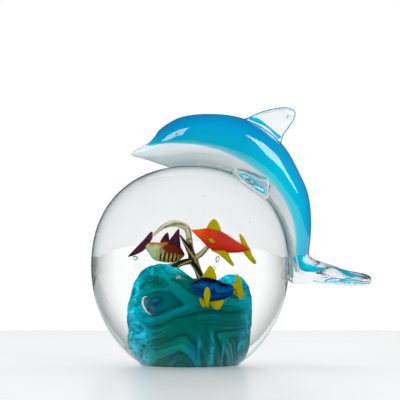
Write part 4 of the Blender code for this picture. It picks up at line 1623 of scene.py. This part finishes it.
    def streaks_and_painted_lines(self) -> None:
        """Make the cyan streaks in the tail, and where the dolphin meets the ball a pale line of painted
        highlight and a grey-teal band of tint and painted shade.
        """
        for number, (points, radii) in enumerate(self.streaks, 1):
            place(f"tail_streak_{number}", rod(points, radii, 20), STREAK_GLASS)
        # The pale line is painted highlight; the grey-teal band is part tint, part painted shade.
        for name, finish, radius, side_reach, route in self.painted_keel_lines:
            points = [self.ball.centre + spoke(angle) * reach for angle, reach in route]
            for side, y in (("left", -side_reach), ("right", side_reach)):
                path = [(point.x, y, point.z) for point in points]
                place(f"{name}_{side}", rod(path, [radius] * len(path), PAINTED_ROD_SIDES), finish)

    def flipper_painted_light(self) -> None:
        """Make the pale painted highlight round each flipper, and the blue loop rods of painted refraction in
        it.
        """
        for side, mirror in (("left", 1), ("right", -1)):
            # Painted highlight: a pale rod just inside each flipper's edges.
            edges = [(Vector(row[:3]), Vector(row[3:6])) for row in self.flipper_stations]
            path = [lead.lerp(trail, self.highlight_inset) for lead, trail in edges]
            path += [trail.lerp(lead, self.highlight_inset) for lead, trail in edges[::-1]]
            path = [(point.x, point.y * mirror, point.z) for point in (*path, path[0])]
            painted_rod = rod(path, [self.highlight_radius] * len(path), PAINTED_ROD_SIDES)
            place(f"flipper_painted_highlight_{side}", painted_rod, PAINTED_HIGHLIGHT_GLASS)
        # Painted refraction: blue rings that stand for the blue core seen through the flipper.
        for number, (centre, (long, short, slope), radius) in enumerate(self.painted_refraction_loops, 1):
            tilt = math.radians(slope)
            axis = Vector((math.cos(tilt), -0.35, -math.sin(tilt)))
            other = Vector((math.sin(tilt), 0, math.cos(tilt)))
            loop = oval(Vector(centre), axis * long, other * short, 12)
            for side, mirror in (("left", 1), ("right", -1)):
                path = [(point.x, point.y * mirror, point.z) for point in (*loop, loop[0])]
                painted_rod = rod(path, [radius] * len(path), PAINTED_ROD_SIDES)
                place(f"flipper_loop_{number}_{side}", painted_rod, STREAK_GLASS)

    def build(self) -> None:
        """Make the skin, the core, the cyan streaks, the painted highlights, shade and refraction, and the
        eyes.
        """
        self.streaks_and_painted_lines()
        self.flipper_painted_light()
        place("dolphin_clear_glass", self.clear_skin(), DOLPHIN_CRYSTAL, "dolphin_casing",
              "dolphin_dorsal_fin", "dolphin_left_flipper", "dolphin_right_flipper", "dolphin_tail_flukes")
        core = self.arched(self.core_stations)
        upper, lower = Skin(core.points, [], core.values), Skin(core.points, [], core.values)
        rises = core.values["rise"] + [0.0] * (len(core.points) - len(core.values["rise"]))
        for face in core.faces:
            half = upper if sum(rises[corner] for corner in face) > 0 else lower
            half.faces.append(face)
        place("dolphin_blue_back", upper, CORE_GLASS[Slot.BLUE], "dolphin_back")
        place("dolphin_white_belly", lower, CORE_GLASS[Slot.WHITE], "dolphin_belly")
        for name in ("dolphin_left_eye", "dolphin_right_eye"):
            low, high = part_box(name)
            middle = (low + high) / 2 / MM
            middle.y -= math.copysign(self.eye_depth, middle.y)
            place(f"{name}_bead", ball_of(tuple(middle), self.eye_bead, 20), EYE_GLASS, name)


@dataclass
class Studio:
    """White studio: camera, pale table, soft lamps and a bright surround.

    Distances are in metres.

    Attributes:
        eye_height: Height of the camera.
        eye_distance: Its distance before the ball's middle.
        aim: Point that it faces.
        lens: Its focal length in millimetres.
        table_back: Distance from the middle to the table's rear edge.
        table_front: The same for its front edge, below 0.
        table_side: The same for its left and right edges.
        height_levels: Brightness of the surround from straight down, 0, to straight up, 1.
        side_levels: Brightness through glass, from the sides, 0, to before and behind, 1.
        front_levels: Brightness for shading, from the front, 0, to behind, 1.
        mirror_levels: Brightness for a polished skin, from the front, 0, to behind, 1.
        windows: Left, right, low and high edge of each window, as slopes, and its brightness.
        lamps: Name, place, point faced, width and height, and power in watts of each soft box.
    """

    eye_height: float = 0.062
    eye_distance: float = 1.2
    aim: Row = (0.005, 0.0, 0.0825)
    lens: float = 216.0
    table_back: float = 0.47
    table_front: float = -0.7
    table_side: float = 0.65
    height_levels: tuple[Row, ...] = ((0.0, 0.6), (0.3, 1.0), (0.8, 1.0), (0.9, 0.5), (1.0, 0.45))
    side_levels: tuple[Row, ...] = ((0.0, 0.1), (0.3, 0.18), (0.5, 0.45), (0.68, 0.78), (0.82, 1.0))
    front_levels: tuple[Row, ...] = ((0.0, 0.18), (0.35, 0.22), (0.7, 0.9), (0.8, 1.0))
    mirror_levels: tuple[Row, ...] = ((0.0, 0.03), (0.5, 0.04), (0.8, 0.04), (1.0, 0.02))
    windows: tuple[Row, ...] = ((0.5, 2.0, 0.4, 1.3, 4.6), (-2.2, -0.5, 0.6, 1.6, 3.2))
    lamps: tuple[tuple[str, Row, Row, tuple[float, float], float], ...] = (
        ("overhead_box", (0.1, 0.45, 1.1), (0.0, 0.1, 0.0), (1.5, 1.2), 7.2),
        ("right_box", (0.75, -0.75, 0.75), (0.01, 0.0, 0.06), (0.7, 0.8), 5.0),
        ("left_box", (-0.8, -0.7, 0.6), (0.01, 0.0, 0.06), (0.7, 0.7), 3.4),
    )

    def camera(self) -> None:
        """Set the camera level with the ball's middle."""
        camera = bpy.data.objects.new("camera", bpy.data.cameras.new("camera"))
        bpy.context.scene.collection.objects.link(camera)
        camera.data.lens = self.lens
        camera.data.clip_end = 20.0
        camera.location = (self.aim[0], -self.eye_distance, self.eye_height)
        camera.rotation_euler = (Vector(self.aim) - camera.location).to_track_quat("-Z", "Y").to_euler()
        bpy.context.scene.camera = camera

    def table(self) -> None:
        """Make the pale table that the ball stands on."""
        side, front, back = self.table_side, self.table_front, self.table_back
        corners = ((-side, front), (side, front), (side, back), (-side, back))
        below_the_ball = -0.0002
        mesh = bpy.data.meshes.new("table")
        mesh.from_pydata([(x, y, below_the_ball) for x, y in corners], [], [(0, 1, 2, 3)])
        table = bpy.data.objects.new("table", mesh)
        bpy.context.scene.collection.objects.link(table)
        nodes = Nodes(bpy.data.materials.new("pale_table"))
        shader = nodes.add("ShaderNodeBsdfPrincipled", Roughness=0.3, IOR=1.45)
        shade = nodes.ramp(nodes.grain(60.0, 2.0), ((0.3, (0.86, 0.868, 0.88)), (0.7, (0.875, 0.882, 0.892))))
        nodes.join(shade, shader.inputs["Base Color"])
        nodes.join(shader.outputs[0], nodes.output.inputs["Surface"])
        mesh.materials.append(nodes.made)

    def lamp(self, name: str, place_of: Row, target: Row, size: tuple[float, float], power: float) -> None:
        """Hang one soft box.

        Args:
            name: Name of the lamp.
            place_of: Its place in metres.
            target: Point that it faces.
            size: Width and height in metres.
            power: Power in watts.
        """
        light = bpy.data.lights.new(name, "AREA")
        light.shape = "RECTANGLE"
        light.size, light.size_y = size
        light.energy = power
        lamp = bpy.data.objects.new(name, light)
        bpy.context.scene.collection.objects.link(lamp)
        lamp.visible_glossy = False
        lamp.visible_transmission = False
        lamp.location = place_of
        lamp.rotation_euler = (Vector(target) - Vector(place_of)).to_track_quat("-Z", "Y").to_euler()

    def surround(self) -> None:
        """Set the bright surround.

        It is white all round the horizon and greyer overhead. Glass looks through to white before and behind
        and to grey at the sides, shading sees a dimmer room in front, and a polished skin mirrors a dark room
        with bright windows.
        """
        world = bpy.data.worlds.new("surround")
        bpy.context.scene.world = world
        nodes = Nodes(world, "ShaderNodeOutputWorld")
        direction = nodes.add("ShaderNodeSeparateXYZ")
        nodes.join(nodes.add("ShaderNodeTexCoord").outputs["Generated"], direction.inputs[0])
        rays = nodes.add("ShaderNodeLightPath").outputs
        height = nodes.ramp(nodes.sum(direction.outputs["Z"], 0.5, 0.5), greys(*self.height_levels), "LINEAR")
        across = nodes.add("ShaderNodeMath", operation="ABSOLUTE")
        nodes.join(direction.outputs["Y"], across.inputs[0])
        depth = nodes.sum(direction.outputs["Y"], 0.5, 0.5)
        sides = nodes.ramp(across.outputs[0], greys(*self.side_levels), "LINEAR")
        front = nodes.ramp(depth, greys(*self.front_levels), "LINEAR")
        dark = nodes.ramp(depth, greys(*self.mirror_levels), "LINEAR")
        bent = nodes.sum(rays["Is Transmission Ray"], 1.0, -1.0)
        mirrored = nodes.times(rays["Is Singular Ray"], bent)
        room = nodes.blend(rays["Is Transmission Ray"], nodes.blend(mirrored, front, dark), sides)
        windows = nodes.times(self.soft_boxes(nodes, direction), mirrored)
        light = nodes.add("ShaderNodeBackground")
        nodes.join(nodes.sum(windows, 1.0), light.inputs["Strength"])
        seen = nodes.blend(windows, nodes.through(room, height), WHITE)
        nodes.join(nodes.blend(rays["Is Camera Ray"], seen, WHITE), light.inputs["Color"])
        nodes.join(light.outputs[0], nodes.output.inputs["Surface"])

    def soft_boxes(self, nodes: Nodes, direction: bpy.types.Node) -> Socket:
        """Bright windows in front, which only gloss shows.

        Args:
            nodes: The surround's nodes.
            direction: Node that splits the direction into X, Y and Z.

        Returns:
            The brightness that they add.
        """
        ahead = nodes.add("ShaderNodeMath", operation="MINIMUM")
        nodes.join(direction.outputs["Y"], ahead.inputs[0])
        ahead.inputs[1].default_value = -0.001
        slopes = []
        for axis in ("X", "Z"):
            slope = nodes.add("ShaderNodeMath", operation="DIVIDE")
            nodes.join(direction.outputs[axis], slope.inputs[0])
            nodes.join(ahead.outputs[0], slope.inputs[1])
            slopes.append(slope.outputs[0])
        total: Socket | float = 0.0
        for left, right, low, high, brightness in self.windows:
            inside_x = nodes.sum(slopes[0], (right - left) / 2, -(left + right) / 2, "COMPARE")
            inside_z = nodes.sum(slopes[1], (high - low) / 2, -(low + high) / 2, "COMPARE")
            total = nodes.sum(nodes.times(inside_x, inside_z), total, brightness)
        return total

    def build(self) -> None:
        """Make the camera, table, lamps and surround."""
        self.camera()
        self.table()
        for name, place_of, target, size, power in self.lamps:
            self.lamp(name, place_of, target, size, power)
        self.surround()
        view = bpy.context.scene.view_settings
        view.view_transform = "Standard"
        view.look = "None"


def main() -> None:
    """Build every sub-assembly in order."""
    logging.basicConfig(level=logging.INFO, format="%(name)s %(message)s")
    ball = Ball()
    Studio().build()
    ball.build()
    Reef().build()
    for fish in SHOAL:
        fish.build()
    Coral().build()
    Bubbles().build()
    Dolphin(ball).build()
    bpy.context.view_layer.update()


if __name__ == "__main__":
    main()
